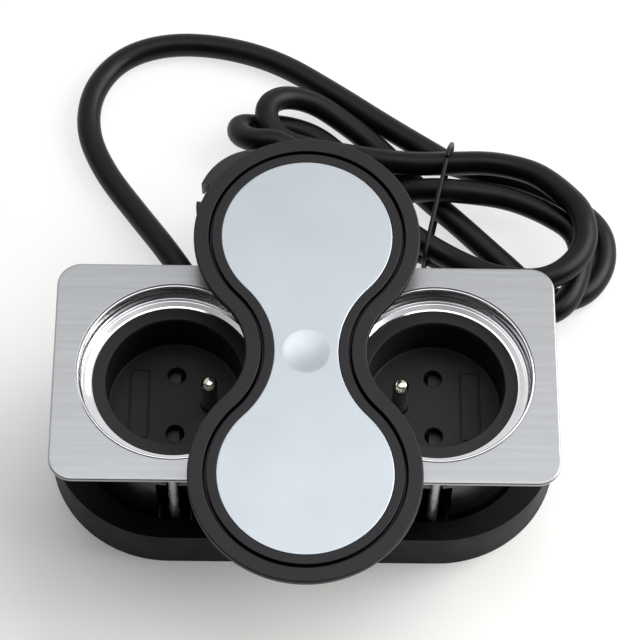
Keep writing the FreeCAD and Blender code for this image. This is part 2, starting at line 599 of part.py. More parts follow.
# Contact carrier with windows for the tulips and rails for the shutters
carrier_parts = [stadium(CARRIER_R, SOCKET_X, CARRIER_Z, CARRIER_TOP_Z)]
RAIL_TOP_Z = SHUTTER_Z + SHUTTER_THICK + 0.1
SHUTTER_REST_X = SOCKET_X - SHUTTER_WIDTH / 2
SHUTTER_OUT_X = SOCKET_X + SHUTTER_WIDTH / 2
SPRING_END_X = SOCKET_X + CARRIER_R - SPRING_STOP_INSET
for side in (-1, 1):
    inner, outer = sorted((side * (SHUTTER_REST_X - 0.5), side * (SHUTTER_OUT_X + SHUTTER_TRAVEL + 1)))
    for y in (-SHUTTER_REACH - 1.8, SHUTTER_REACH + 0.3):
        carrier_parts.append(block(inner, outer, y, y + 1.5, CARRIER_TOP_Z - 1, RAIL_TOP_Z))
    inner, outer = sorted((side * SPRING_END_X, side * (SPRING_END_X + 1.5)))
    carrier_parts.append(block(inner, outer, -2.5, 2.5, CARRIER_TOP_Z - 1, RAIL_TOP_Z))
carrier_cuts = [disc(0, 0, CLIP_R + 1, CARRIER_Z - 1, RAIL_TOP_Z + 1)]
for x in (-SOCKET_X, SOCKET_X):
    for y in (-CONTACT_Y, CONTACT_Y):
        carrier_cuts.append(block(x - 4, x + 4, y - 3.5, y + 3.5, CARRIER_Z - 1, CARRIER_TOP_Z + 1))
for x in (-EARTH_X, EARTH_X):
    carrier_cuts.append(disc(x, 0, PIN_R + 0.1, CARRIER_Z - 1, CARRIER_TOP_Z + 1))
for sx, sy in CLAMP_SCREWS:
    carrier_cuts.append(disc(CARRIER_BOSS[0] * sx, CARRIER_BOSS[1] * sy, SMALL_SCREW_R + 0.1,
                             CARRIER_Z - 1, CARRIER_TOP_Z + 1))
save("contact_carrier", bored(fused(carrier_parts), carrier_cuts))

# Shutters, each with a ramp that a plug's pins push outwards, and their springs
for name, side in (("left", -1), ("right", 1)):
    inner, outer = sorted((side * SHUTTER_REST_X, side * SHUTTER_OUT_X))
    plate = block(inner, outer, -SHUTTER_REACH, SHUTTER_REACH, SHUTTER_Z, SHUTTER_Z + SHUTTER_THICK)
    edge = [e for e in plate.Edges if all(
        abs(v.X - side * SHUTTER_REST_X) < 0.01 and v.Z > SHUTTER_Z + 1 for v in e.Vertexes)]
    save("shutter_" + name, plate.makeChamfer(SHUTTER_THICK - 0.6, edge))
    helix = Part.makeHelix((SPRING_END_X - SHUTTER_OUT_X - 0.6) / SPRING_TURNS,
                           SPRING_END_X - SHUTTER_OUT_X - 0.6, SPRING_R)
    foot = Part.Wire([Part.Circle(V(SPRING_R, 0, 0), V(0, 1, 0), SPRING_WIRE_R).toShape()])
    spring = Part.Wire(helix).makePipeShell([foot], True, False)
    spring.rotate(V(0, 0, 0), V(0, 1, 0), 90 * side)
    spring.translate(V(side * (SHUTTER_OUT_X + 0.3), 0, SHUTTER_Z + SHUTTER_THICK / 2))
    save("shutter_spring_" + name, spring)

# Contact strips: live at the back, neutral at the front, earth in the middle
LEAF_WIDTH = 4.0
PEG_HOLE_R = PEG_R + 0.1


def busbar(y):
    reach = SOCKET_X + TULIP_GAP / 2 + STRIP
    strip = block(-reach, reach, y - BUSBAR_WIDTH / 2, y + BUSBAR_WIDTH / 2, BUSBAR_Z, BUSBAR_Z + STRIP)
    parts = [strip]
    for x in (-SOCKET_X, SOCKET_X):
        for side in (-1, 1):
            near = x + side * TULIP_GAP / 2
            a, b = sorted((near, near + side * STRIP))
            parts.append(block(a, b, y - LEAF_WIDTH / 2, y + LEAF_WIDTH / 2, BUSBAR_Z, TULIP_TOP_Z))
    pegs = [disc(x, y, PEG_HOLE_R, BUSBAR_Z - 1, BUSBAR_Z + 2) for x in (-BUSBAR_POST_X, BUSBAR_POST_X)]
    return bored(fused(parts), pegs)


save("live_busbar", busbar(CONTACT_Y))
save("neutral_busbar", busbar(-CONTACT_Y))

EARTH_RING_IN_R = CLIP_R + EARTH_RING_GAP
earth_bar = fused([
    block(-EARTH_X - 4, EARTH_X + 4, -3, 3, EARTH_BAR_Z, EARTH_SHOULDER_Z),
    disc(0, 0, EARTH_RING_IN_R + EARTH_RING, EARTH_BAR_Z, EARTH_SHOULDER_Z),
])
earth_cuts = [disc(0, 0, EARTH_RING_IN_R, EARTH_BAR_Z - 1, EARTH_SHOULDER_Z + 1)]
for sx in (-1, 1):
    earth_cuts.append(disc(EARTH_X * sx, 0, PIN_ROOT_R, EARTH_BAR_Z - 1, EARTH_SHOULDER_Z + 1))
    earth_cuts.append(disc(EARTH_POST_X * sx, 0, PEG_HOLE_R, EARTH_BAR_Z - 1, EARTH_SHOULDER_Z + 1))
save("earth_bar", bored(earth_bar, earth_cuts))

# Terminals: blocks on the strips, each with a wire hole and a screw
TERMINAL = 7.0
TERMINAL_HEIGHT = 6.0
LIVE_TERMINAL_X = 12.0      # the side that the wires enter
TERMINAL_WIRE_Z = BUSBAR_Z + STRIP + 3.1
EARTH_TERMINAL_X = -16.0
terminals = []
terminal_screws = []
for y in (-CONTACT_Y, CONTACT_Y):
    x0 = LIVE_TERMINAL_X
    top = BUSBAR_Z + STRIP + TERMINAL_HEIGHT
    body = block(x0, x0 + TERMINAL, y - TERMINAL / 2, y + TERMINAL / 2, BUSBAR_Z + STRIP, top)
    hole = Part.makeCylinder(WIRE_R, 4, V(x0 - 0.5, y, TERMINAL_WIRE_Z), V(1, 0, 0))
    terminals.append(bored(body, [hole, disc(x0 + 2.2, y, 0.9, TERMINAL_WIRE_Z, top + 1),
                                  disc(BUSBAR_POST_X, y, PEG_HOLE_R, BUSBAR_Z, BUSBAR_Z + 2)]))
    terminal_screws.append(pan_screw(x0 + 2.2, y, top, 0.9, 1.6, 1.1, TERMINAL_WIRE_Z + WIRE_R, 0.4))
half = TERMINAL / 2
earth_block = block(EARTH_TERMINAL_X - half, EARTH_TERMINAL_X + half, -half, half,
                    EARTH_BAR_Z - TERMINAL, EARTH_BAR_Z)
EARTH_WIRE_Z = EARTH_BAR_Z - 4.5
earth_block = bored(earth_block, [
    Part.makeCylinder(WIRE_R, 4, V(EARTH_TERMINAL_X, half + 0.5, EARTH_WIRE_Z), V(0, -1, 0)),
    disc(EARTH_TERMINAL_X, half - 2.2, 0.9, EARTH_BAR_Z - TERMINAL - 1, EARTH_WIRE_Z),
])
terminals.append(earth_block)
terminal_screws.append(pan_screw(EARTH_TERMINAL_X, half - 2.2, EARTH_BAR_Z - TERMINAL, 0.9, 1.6, 1.1,
                                 EARTH_WIRE_Z - WIRE_R, 0.4))
save("terminals", *terminals)
save("terminal_screws", *terminal_screws)


# Routes of wires and cable: straight runs joined by arcs
def leg_arc(a, corner, b):
    """The arc from a to b that touches both legs of the corner, and its radius."""
    middle = (a + b) * 0.5
    chord = (a - middle).Length
    rise = (corner - middle).Length
    if rise < 0.001 * chord:
        return Part.LineSegment(a, b).toShape(), 0.0
    half_turn = math.atan2(rise, chord)
    crest = middle + (corner - middle) * (chord * math.tan(half_turn / 2) / rise)
    return Part.Arc(a, crest, b).toShape(), chord / math.sin(half_turn)


def rounded_route(points, share=0.45):
    points = [V(*p) for p in points]
    edges, radii = [], []
    start = points[0]
    for before, corner, after in zip(points, points[1:], points[2:]):
        cut = share * min((corner - before).Length, (after - corner).Length)
        a = corner + (before - corner).normalize() * cut
        b = corner + (after - corner).normalize() * cut
        edges.append(Part.LineSegment(start, a).toShape())
        arc, radius = leg_arc(a, corner, b)
        edges.append(arc)
        radii.append(round(radius, 1))
        start = b
    edges.append(Part.LineSegment(start, points[-1]).toShape())
    return edges, radii


def tube(edges, radius):
    path = Part.Wire(edges)
    first = edges[0]
    start = first.valueAt(first.FirstParameter)
    way = first.tangentAt(first.FirstParameter)
    profile = Part.Wire([Part.Circle(start, way, radius).toShape()])
    shape = path.makePipeShell([profile], True, False)
    section = math.pi * radius ** 2 * path.Length
    print("tube length", round(path.Length, 1),
          "volume over section x length", round(shape.Volume / section, 4))
    return shape


WIRE_START = on_boss_line(JACKET_FROM)
INWARD = BOSS_AXIS * -1


def wire_start(across, up):
    p = WIRE_START + BOSS_ACROSS * across + V(0, 0, up)
    q = p + INWARD * 2.2
    return [(p.x, p.y, p.z), (q.x, q.y, q.z)]


UNDER_BUSBAR_Z = BUSBAR_Z - WIRE_BELOW_BUSBAR
live_route = wire_start(1.9, -0.4) + [
    (-3.5, 15.0, 10.0), (3.5, 12.0, TERMINAL_WIRE_Z), (8.0, CONTACT_Y, TERMINAL_WIRE_Z),
    (LIVE_TERMINAL_X + 2.5, CONTACT_Y, TERMINAL_WIRE_Z)]
neutral_route = wire_start(0.2, -2.1) + [
    (-8.5, 9.5, UNDER_BUSBAR_Z), (-5.5, 3.0, UNDER_BUSBAR_Z + 0.4), (-1.5, -3.0, TERMINAL_WIRE_Z - 1.5),
    (3.5, -CONTACT_Y, TERMINAL_WIRE_Z), (LIVE_TERMINAL_X + 2.5, -CONTACT_Y, TERMINAL_WIRE_Z)]
earth_route = wire_start(-1.2, 1.9) + [
    (-14.2, 13.4, EARTH_WIRE_Z - 0.2), (EARTH_TERMINAL_X, 9.0, EARTH_WIRE_Z),
    (EARTH_TERMINAL_X, 1.0, EARTH_WIRE_Z)]
for name, route in (("live_wire", live_route), ("neutral_wire", neutral_route), ("earth_wire", earth_route)):
    save(name, tube(rounded_route(route)[0], WIRE_R))

# Pivot: a post in the cover slides in a sleeve that turns in the housing
HEAD_Z = COVER_TOP_Z - RIM_THICK
SLEEVE_FLANGE_TOP_Z = PLATE_UNDER_Z - 0.1


def flatted(radius, flat, z0, z1):
    return disc(0, 0, radius, z0, z1).common(block(-flat, flat, -radius - 1, radius + 1, z0, z1))


STOP_TAB_R = TOWER_R - 0.4
sleeve = fused([
    disc(0, 0, SLEEVE_R, SLEEVE_BOTTOM_Z, PLATE_TOP_Z),
    disc(0, 0, SLEEVE_FLANGE_R, SLEEVE_POCKET_Z + 0.1, SLEEVE_FLANGE_TOP_Z),
    sector(SLEEVE_IN_R + 0.5, STOP_TAB_R, SLEEVE_BOTTOM_Z, TOWER_BOTTOM_Z - 0.2,
           90 - STOP_WIDTH_DEG / 2, 90 + STOP_WIDTH_DEG / 2),
])
WIPER_Z = PLATE_TOP_Z - 1.4
sleeve = bored(sleeve, [
    flatted(SLEEVE_IN_R, POST_FLAT + SLIDE_FIT, SLEEVE_BOTTOM_Z - 1, PLATE_TOP_Z + 1),
    disc(0, 0, SLEEVE_IN_R + 0.9, WIPER_Z, WIPER_Z + 0.9),
])
save("pivot_sleeve", sleeve)
wiper = disc(0, 0, SLEEVE_IN_R + 0.9, WIPER_Z, WIPER_Z + 0.9)
save("sleeve_wiper", wiper.cut(flatted(POST_R + 0.03, POST_FLAT + 0.03, WIPER_Z - 1, WIPER_Z + 2)))

CLIP_GAP = 0.3              # between the clip and the sleeve, with the cover lifted
CLIP_THICK = 0.8
CLIP_Z = SLEEVE_BOTTOM_Z - CLIP_GAP - CLIP_THICK
CLIP_NECK_R = POST_FLAT - 0.5
HEAD_THICK = 1.0
post = fused([
    flatted(POST_R, POST_FLAT, CLIP_Z - 0.9, HEAD_Z + HEAD_THICK),
    disc(0, 0, HEAD_R, HEAD_Z, HEAD_Z + HEAD_THICK),
])
post_cuts = [ring(0, 0, CLIP_NECK_R, POST_R + 1, CLIP_Z, CLIP_Z + CLIP_THICK)]
POST_SCREW_AT = POST_SCREW_SHARE * HEAD_R
POST_SCREW_R = 0.8
post_screws = []
screw_places = []
for k in range(3):
    angle = math.radians(90 + 120 * k)
    screw_places.append((POST_SCREW_AT * math.cos(angle), POST_SCREW_AT * math.sin(angle)))
for x, y in screw_places:
    cone = Part.makeCone(POST_SCREW_R, POST_SCREW_R + 0.8, 0.8, V(x, y, HEAD_Z + HEAD_THICK - 0.8))
    post_cuts += [disc(x, y, POST_SCREW_R, HEAD_Z - 1, HEAD_Z + 1), cone]
    screw = fused([cone, disc(x, y, POST_SCREW_R, HEAD_Z - 1.5, HEAD_Z + 0.5)])
    post_screws.append(screw.cut(block(x - 2, x + 2, y - 0.15, y + 0.15, HEAD_Z + 0.7, HEAD_Z + 2)))
save("pivot_post", bored(post, post_cuts))
save("post_screws", *post_screws)
clip = ring(0, 0, CLIP_NECK_R, CLIP_R, CLIP_Z, CLIP_Z + CLIP_THICK)
mouth = block(-CLIP_NECK_R + 0.6, CLIP_NECK_R - 0.6, 0, SLEEVE_R + 2, CLIP_Z - 1, CLIP_Z + 2)
save("post_clip", clip.cut(mouth))

# Cover: shell with its rim, black carrier, metal insert and seal
SEAL_OUT_R = LOBE_R - SEAL_INSET
SEAL_IN_R = SEAL_OUT_R - SEAL_WIDTH
SEAL_SEAT = 0.8
shell = fused([
    peanut(LOBE_R, HEAD_Z, COVER_TOP_Z),
    peanut(LOBE_R - 0.6, HEAD_Z - SEAL_SEAT, HEAD_Z),
    peanut(SEAL_IN_R - 0.6, HEAD_Z - DECK_PLATE, HEAD_Z),
])
seal_track = peanut(SEAL_OUT_R, HEAD_Z - SEAL_SEAT, HEAD_Z)
seal_track = seal_track.cut(peanut(SEAL_IN_R, HEAD_Z - 2, HEAD_Z + 1))
shell_cuts = [peanut(BAND_R, HEAD_Z, COVER_TOP_Z + 1), seal_track,
              flatted(POST_R, POST_FLAT, HEAD_Z - 5, HEAD_Z + 1)]
for x, y in screw_places:
    shell_cuts.append(disc(x, y, POST_SCREW_R, HEAD_Z - 1.5, HEAD_Z + 1))
save("cover_shell", bored(shell, shell_cuts))

carrier_deck = HEAD_Z + HEAD_THICK
cover_carrier = peanut(RING_R, HEAD_Z, COVER_TOP_Z)
save("cover_carrier", cover_carrier.cut([peanut(INSERT_LOBE_R + 0.05, carrier_deck, COVER_TOP_Z + 1),
                                         disc(0, 0, HEAD_R + 0.1, HEAD_Z - 1, carrier_deck + 1)]))

dimple_sphere_r = (DIMPLE_R ** 2 + DIMPLE_DEPTH ** 2) / (2 * DIMPLE_DEPTH)
dimple = Part.makeSphere(dimple_sphere_r, V(0, 0, COVER_TOP_Z - DIMPLE_DEPTH + dimple_sphere_r))
cover_insert = peanut(INSERT_LOBE_R, COVER_TOP_Z - INSERT_SHEET, COVER_TOP_Z)
save("cover_insert", cover_insert.cut(dimple))

SEAL_Z = HEAD_Z - SEAL_STAND
cover_seal = peanut(SEAL_OUT_R, SEAL_Z, HEAD_Z).cut(peanut(SEAL_IN_R, SEAL_Z - 1, HEAD_Z + 1))
save("cover_seal", cover_seal)

# Cable. It leaves the housing, swings round at the back left and comes to the bundle.
LAY_Z = CORD_R + 0.1        # centre height of a strand that lies on the table
LAYER = 2 * CORD_R + 0.7    # pitch of strands that lie on each other
WAIST_Z = LAY_Z + 1.6       # low strands where the tie goes round them
WAIST_TOP_Z = WAIST_Z + LAYER
RELIEF_END = on_boss_line(BOSS_TO + RELIEF_LENGTH)
LEAD_CORNER = on_boss_line(BOSS_TO + RELIEF_LENGTH + LEAD_STRAIGHT)
PLUG_NECK_Z = CORD_R + 1.9
lead_points = [
    (RELIEF_END.x, RELIEF_END.y, RELIEF_END.z), (LEAD_CORNER.x, LEAD_CORNER.y, LEAD_CORNER.z),
    (-53.5, 80.8, 5.2), (-64.5, 96.8, LAY_Z), (-70.8, 112.0, LAY_Z),
    (-69.6, 127.5, LAY_Z), (-61.0, 140.0, LAY_Z), (-46.5, 146.0, LAY_Z), (-28.5, 145.6, LAY_Z),
    (-10.5, 139.0, LAY_Z), (8.5, 128.6, LAY_Z), (25.5, 117.5, 4.4), (38.5, 108.0, WAIST_Z),
]
tail_points = [(53.6, 55.8, WAIST_Z - 0.1), (44.9, 64.5, WAIST_Z + 0.1),
               (33.8, 69.2, PLUG_NECK_Z), (22.5, 69.2, PLUG_NECK_Z)]

# Stations of the bundle, in the order the cable passes them: x, y, z, heading and climb in degrees.
# Three flat loops lie on each other: LAYER apart at the right bend, side by side at the waist.
RIGHT_BEND = 73.0           # Y of the right bends' outermost points, lowest loop
bundle = [
    (51.5, 99.5, WAIST_Z - 0.2, -28, -3),
    (95.0, RIGHT_BEND, LAY_Z, -90, 0),
    (79.5, 52.0, LAY_Z, 180, 0),
    (62.0, 65.0, LAY_Z + 0.4, 136, 3),
    (43.7, 82.8, WAIST_Z, 136, 0),
    (17.0, 112.2, 4.6, 141, 6),
    (-4.0, 124.0, 9.0, 178, 15),
    (-13.0, 115.0, 12.5, -86, 6),
    (-3.0, 106.2, 12.6, -5, 0),
    (42.0, 97.0, WAIST_TOP_Z, -1, 2),
    (87.0, RIGHT_BEND - 3, LAY_Z + 2 * LAYER, -90, 0),
    (68.0, 50.0, LAY_Z + 2 * LAYER - 0.7, 176, -4),
    (42.0, 63.0, WAIST_TOP_Z, 149, 3),
    (16.0, 84.0, WAIST_TOP_Z, 139, -2),
    (-3.0, 97.6, 16.6, 152, 6),
    (-13.0, 101.3, 17.1, 180, -8),
    (-21.5, 109.0, 10.7, 89, -35),
    (-12.0, 114.7, LAY_Z, 0, 0),
    (7.0, 107.6, LAY_Z + 0.2, -42, 0),
    (22.0, 92.5, 5.2, -44, 12),
    (43.0, 83.2, WAIST_TOP_Z, -6, 1),
    (86.3, RIGHT_BEND - 8, LAY_Z + LAYER, -90, 0),
    (72.0, 43.6, 10.0, 176, -14),
]


def way(heading_deg, climb_deg):
    h, c = math.radians(heading_deg), math.radians(climb_deg)
    return V(math.cos(h) * math.cos(c), math.sin(h) * math.cos(c), math.sin(c))


def two_arcs(p0, t0, p1, t1):
    """Two arcs that join p0, leaving along t0, with p1, reached along t1."""
    v = p1 - p0
    t = t0 + t1
    k = 2 * (1 - t0.dot(t1))
    if k < 1e-9:
        d = v.dot(v) / (4 * v.dot(t1))
    else:
        d = (math.sqrt(v.dot(t) ** 2 + k * v.dot(v)) - v.dot(t)) / k
    q0, q1 = p0 + t0 * d, p1 - t1 * d
    joint = (q0 + q1) * 0.5
    return [leg_arc(p0, q0, joint), leg_arc(joint, q1, p1)]


def bundle_route():
    """The bundle's path: a straight of one diameter at each end, arcs between."""
    start, end = V(*lead_points[-1]), V(*tail_points[0])
    start_way = (start - V(*lead_points[-2])).normalize()
    end_way = (V(*tail_points[1]) - end).normalize()
    stations = [(start + start_way * (2 * CORD_R), start_way)]
    stations += [(V(x, y, z), way(heading, climb)) for x, y, z, heading, climb in bundle]
    stations.append((end - end_way * (2 * CORD_R), end_way))
    edges = [Part.LineSegment(start, stations[0][0]).toShape()]
    radii = []
    for (p0, t0), (p1, t1) in zip(stations, stations[1:]):
        for edge, radius in two_arcs(p0, t0, p1, t1):
            edges.append(edge)
            radii.append(radius)
    edges.append(Part.LineSegment(stations[-1][0], end).toShape())
    return edges, radii


def least_gap(edges, step, apart):
    """Least clear distance of the cable to itself, between points more than apart along it."""
    points = []
    for edge in edges:
        count = max(1, round(edge.Length / step))
        points += edge.discretize(count + 1)[:-1]
    reach = round(apart / step)
    near = [(points[i] - points[j]).Length
            for i in range(len(points)) for j in range(i + reach, len(points))]
    return min(near) - 2 * CORD_R


lead_edges, lead_radii = rounded_route(lead_points)
tail_edges, tail_radii = rounded_route(tail_points)
bundle_edges, bundle_radii = bundle_route()
cable_edges = lead_edges + bundle_edges + tail_edges
print("lead bend radii", lead_radii)
print("tail bend radii", tail_radii)
print("bundle least bend radius", round(min(r for r in bundle_radii if r > 0), 1))
print("cable length outside", round(sum(e.Length for e in cable_edges), 1))
NEAR_ALONG = 3 * 2 * CORD_R    # points nearer than this along the cable aren't compared
print("cable least gap to itself", round(least_gap(cable_edges, 1.0, NEAR_ALONG), 2))
save("cord_lead", tube(lead_edges, CORD_R))
save("cord_hank", tube(bundle_edges, CORD_R))
save("cord_tail", tube(tail_edges, CORD_R))

# Twist tie: one wire round all strands at the waist, its two ends turned up at the back
TIE_X = 46.0
TIE_Y = 101.0
TIE_AT = V(TIE_X, TIE_Y, 0)
TIE_WAY = V(-0.213, -0.977, 0)
TIE_TOP_Z = WAIST_TOP_Z + CORD_R + TIE_WIRE_R + 0.35
TIE_LOW_Z = TIE_WIRE_R + 0.02
tie_outline = [
    (-1.5, TIE_TOP_Z + 2.8), (-1.5, TIE_TOP_Z - 1.5), (-7.6, 7.5), (-6.6, TIE_LOW_Z),
    (38.6, TIE_LOW_Z), (42.1, 9.5), (41.6, TIE_TOP_Z), (0.6, TIE_TOP_Z), (0.4, TIE_TOP_Z + 2.8),
]
tie_points = []
for s, z in tie_outline:
    p = TIE_AT + TIE_WAY * s
    tie_points.append((p.x, p.y, z))
tie_edges, tie_radii = rounded_route(tie_points)
print("tie bend radii", tie_radii)
save("twist_tie", tube(tie_edges, TIE_WIRE_R))

# Plug: it lies on its back, face up and leaned to the front
PLUG_SIDE = 15.7            # the earth clips' flats lie this far out
NECK_R = 5.5
NECK_Y = tail_points[-1][1]
NECK_END_X = 6.0
TAIL_X = tail_points[-1][0]


def plug_place(shape):
    shape.rotate(V(0, 0, 0), V(0, 0, 1), PLUG_TURN_DEG)
    shape.rotate(V(0, 0, 0), V(1, 0, 0), PLUG_LEAN_DEG)
    shape.translate(V(*PLUG_FACE))
    return shape


plug_disc = disc(0, 0, PLUG_R, -PLUG_DISC, 0)
face_edges = [e for e in plug_disc.Edges if e.Closed and abs(e.BoundBox.ZMax) < 0.01]
plug_disc = plug_disc.makeChamfer(0.8, face_edges)
plug_back = Part.makeCone(PLUG_R - 4.2, PLUG_R - 1.0, PLUG_BACK, V(0, 0, -PLUG_DISC - PLUG_BACK))
plug_body = plug_place(fused([plug_disc, plug_back]))
neck_from = V(PLUG_FACE[0], NECK_Y, PLUG_NECK_Z)
neck = Part.makeCone(NECK_R + 4, NECK_R, NECK_END_X - neck_from.x, neck_from, V(1, 0, 0))
plug_body = fused([plug_body, neck])
ROOM = 4 * PLUG_R           # more than the plug takes up
under_table = block(-ROOM, ROOM, PLUG_FACE[1] - ROOM, PLUG_FACE[1] + ROOM, -ROOM, 0)
plug_cuts = [under_table]
CLIP_HALF = 2.8
PIN_ROOT_DEPTH = 8.0
PLUG_EARTH_DEPTH = 9.0
for side in (-1, 1):
    a, b = sorted((side * (PLUG_SIDE - 0.6), side * (PLUG_R + 2)))
    plug_cuts.append(plug_place(block(a, b, -CLIP_HALF - 0.1, CLIP_HALF + 0.1, -PLUG_DISC, 1)))
    plug_cuts.append(plug_place(disc(0, side * CONTACT_Y, PIN_ROOT_R + 0.02, -PIN_ROOT_DEPTH, 1)))
plug_cuts.append(plug_place(disc(-EARTH_OFFSET, 0, PIN_R + 0.2, -PLUG_EARTH_DEPTH, 1)))
plug_cuts.append(Part.makeCylinder(CORD_R, 4, V(NECK_END_X - 3, NECK_Y, PLUG_NECK_Z), V(1, 0, 0)))
save("plug_body", bored(plug_body, plug_cuts))

plug_pins = []
for side in (-1, 1):
    shaft = disc(0, side * CONTACT_Y, PIN_R, PIN_ROOT_STAND, PLUG_PIN_LENGTH)
    tip_edge = [e for e in shaft.Edges if e.Closed and abs(e.BoundBox.ZMin - PLUG_PIN_LENGTH) < 0.01]
    root = disc(0, side * CONTACT_Y, PIN_ROOT_R, -PIN_ROOT_DEPTH, PIN_ROOT_STAND)
    plug_pins.append(plug_place(fused([shaft.makeChamfer(1.0, tip_edge), root])))
save("plug_pins", *plug_pins)

plug_clips = []
for side in (-1, 1):
    a, b = sorted((side * (PLUG_SIDE - 0.6), side * PLUG_SIDE))
    leaf = block(a, b, -CLIP_HALF, CLIP_HALF, -PLUG_DISC, -0.5)
    a, b = sorted((side * PLUG_SIDE, side * (PLUG_SIDE + 1.1)))
    bump = block(a, b, -CLIP_HALF / 2, CLIP_HALF / 2, -7.5, -3.0)
    plug_clips.append(plug_place(fused([leaf, bump])))
save("plug_earth_clips", *plug_clips)

plug_relief = fused([
    Part.makeCone(NECK_R - 0.3, CORD_R + 0.7, TAIL_X - NECK_END_X,
                  V(NECK_END_X, NECK_Y, PLUG_NECK_Z), V(1, 0, 0)),
    Part.makeCylinder(CORD_R, 3.0, V(NECK_END_X - 3, NECK_Y, PLUG_NECK_Z), V(1, 0, 0)),
])
save("plug_relief", plug_relief)
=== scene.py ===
# %% [markdown]
# # A flush-mounted socket block with a turning cover
#
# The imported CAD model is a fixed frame, in metres, with X along the plate, Y to the back and
# Z up. Each step below adds one group of pieces to it, or dresses the ones that it has.
# Lengths in this file are millimetres, and MM turns them to metres where Blender gets them.

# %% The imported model
import math

import bmesh
import bpy
from mathutils import Matrix, Vector


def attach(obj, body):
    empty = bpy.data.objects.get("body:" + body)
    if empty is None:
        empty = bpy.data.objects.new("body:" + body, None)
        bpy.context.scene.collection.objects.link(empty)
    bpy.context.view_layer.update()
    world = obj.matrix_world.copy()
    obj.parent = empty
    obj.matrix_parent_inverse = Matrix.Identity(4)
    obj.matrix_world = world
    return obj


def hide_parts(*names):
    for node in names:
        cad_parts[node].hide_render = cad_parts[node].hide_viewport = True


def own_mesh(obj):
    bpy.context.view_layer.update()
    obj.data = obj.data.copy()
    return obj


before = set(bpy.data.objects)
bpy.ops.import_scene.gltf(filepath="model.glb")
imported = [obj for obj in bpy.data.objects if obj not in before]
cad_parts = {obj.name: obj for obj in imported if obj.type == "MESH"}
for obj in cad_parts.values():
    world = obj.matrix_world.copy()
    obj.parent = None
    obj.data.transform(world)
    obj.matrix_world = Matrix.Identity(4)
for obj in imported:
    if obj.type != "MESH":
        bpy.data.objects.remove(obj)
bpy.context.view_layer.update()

MM = 0.001
print("CAD nodes:", len(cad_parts))

# %% [markdown]
# ## Camera
#
# The block is seen from high in front, through a long lens that keeps its edges nearly
# parallel. A camera can be turned towards a target, but a small lean would be lost then, so
# this one has its three directions written down. They and its place were fitted to the
# photograph, so that plate, sockets, clamp frame and cover fall where they are seen.

# %% The camera
camera_data = bpy.data.cameras.new("camera")
camera_data.lens = 156.165
camera_data.sensor_width = 36.0
camera_data.clip_start = 0.01
camera = bpy.data.objects.new("camera", camera_data)
bpy.context.scene.collection.objects.link(camera)
bpy.context.scene.camera = camera

right = Vector((0.9998236, 0.0038054, 0.0183926))
up = Vector((-0.0120221, 0.8820373, 0.4710261))
forward = Vector((0.0144305, 0.4711642, -0.8819275))
place = Vector((-7.59, -364.48, 768.13)) * MM
camera.matrix_world = Matrix((
    (right.x, up.x, -forward.x, place.x),
    (right.y, up.y, -forward.y, place.y),
    (right.z, up.z, -forward.z, place.z),
    (0, 0, 0, 1),
))
print("camera", [round(c, 3) for c in place])

# %% [markdown]
# ## The cable
#
# A mains cable is one length of round, fairly stiff cord. It could be swept as a mesh, but a
# curve with a bevel stays one smooth line and is easy to change. So it is one open NURBS
# spline with the route's corner points as its control points. It leaves the housing, swings
# round at the back left, is wound three times into a flat bundle and comes back to the plug.

# %% The two ends of the cable
CORD_R = 3.8
LAY_Z = CORD_R + 0.1              # a strand on the table
LAYER = 2 * CORD_R + 0.7          # from one layer of strands to the next
WAIST_Z = LAY_Z + 1.6             # lower and upper layer where the tie holds them
WAIST_TOP_Z = WAIST_Z + LAYER
PLUG_NECK_Z = CORD_R + 1.9        # where the cable enters the plug
RIGHT_BEND = 73.0                 # Y of the bends at the bundle's right end

# The boss at the housing's back, from which the cable leaves through its strain relief.
BOSS_AT = Vector((-20.0, 29.0, 7.6))
BOSS_HEADING_DEG = 122.0
RELIEF_END = 30.0
STRAIGHT_END = 42.0

boss_heading = math.radians(BOSS_HEADING_DEG)
boss_axis = Vector((math.cos(boss_heading), math.sin(boss_heading), 0))
relief_end = BOSS_AT + boss_axis * RELIEF_END
lead = [relief_end, BOSS_AT + boss_axis * STRAIGHT_END] + [Vector(p) for p in (
    (-53.5, 80.8, 5.2), (-64.5, 96.8, LAY_Z), (-70.8, 112.0, LAY_Z),
    (-69.6, 127.5, LAY_Z), (-61.0, 140.0, LAY_Z), (-46.5, 146.0, LAY_Z), (-28.5, 145.6, LAY_Z),
    (-9.5, 139.9, LAY_Z), (9.0, 127.6, LAY_Z), (25.5, 115.2, 4.4), (38.5, 105.6, WAIST_Z),
)]
PLUG_NECK_Y = 69.2
tail = [Vector(p) for p in (
    (53.6, 55.8, WAIST_Z - 0.1), (44.9, 64.5, WAIST_Z + 0.1),
    (33.8, PLUG_NECK_Y, PLUG_NECK_Z), (22.5, PLUG_NECK_Y, PLUG_NECK_Z),
)]
print("lead and tail points:", len(lead), len(tail))

# %% [markdown]
# The bundle is easier to read from the photograph as places that the cable passes with a
# known direction than as corners beside it. So it is given by stations: a point, a heading
# and a climb in degrees. Between two stations the cable bends twice, and each bend has one
# control point.

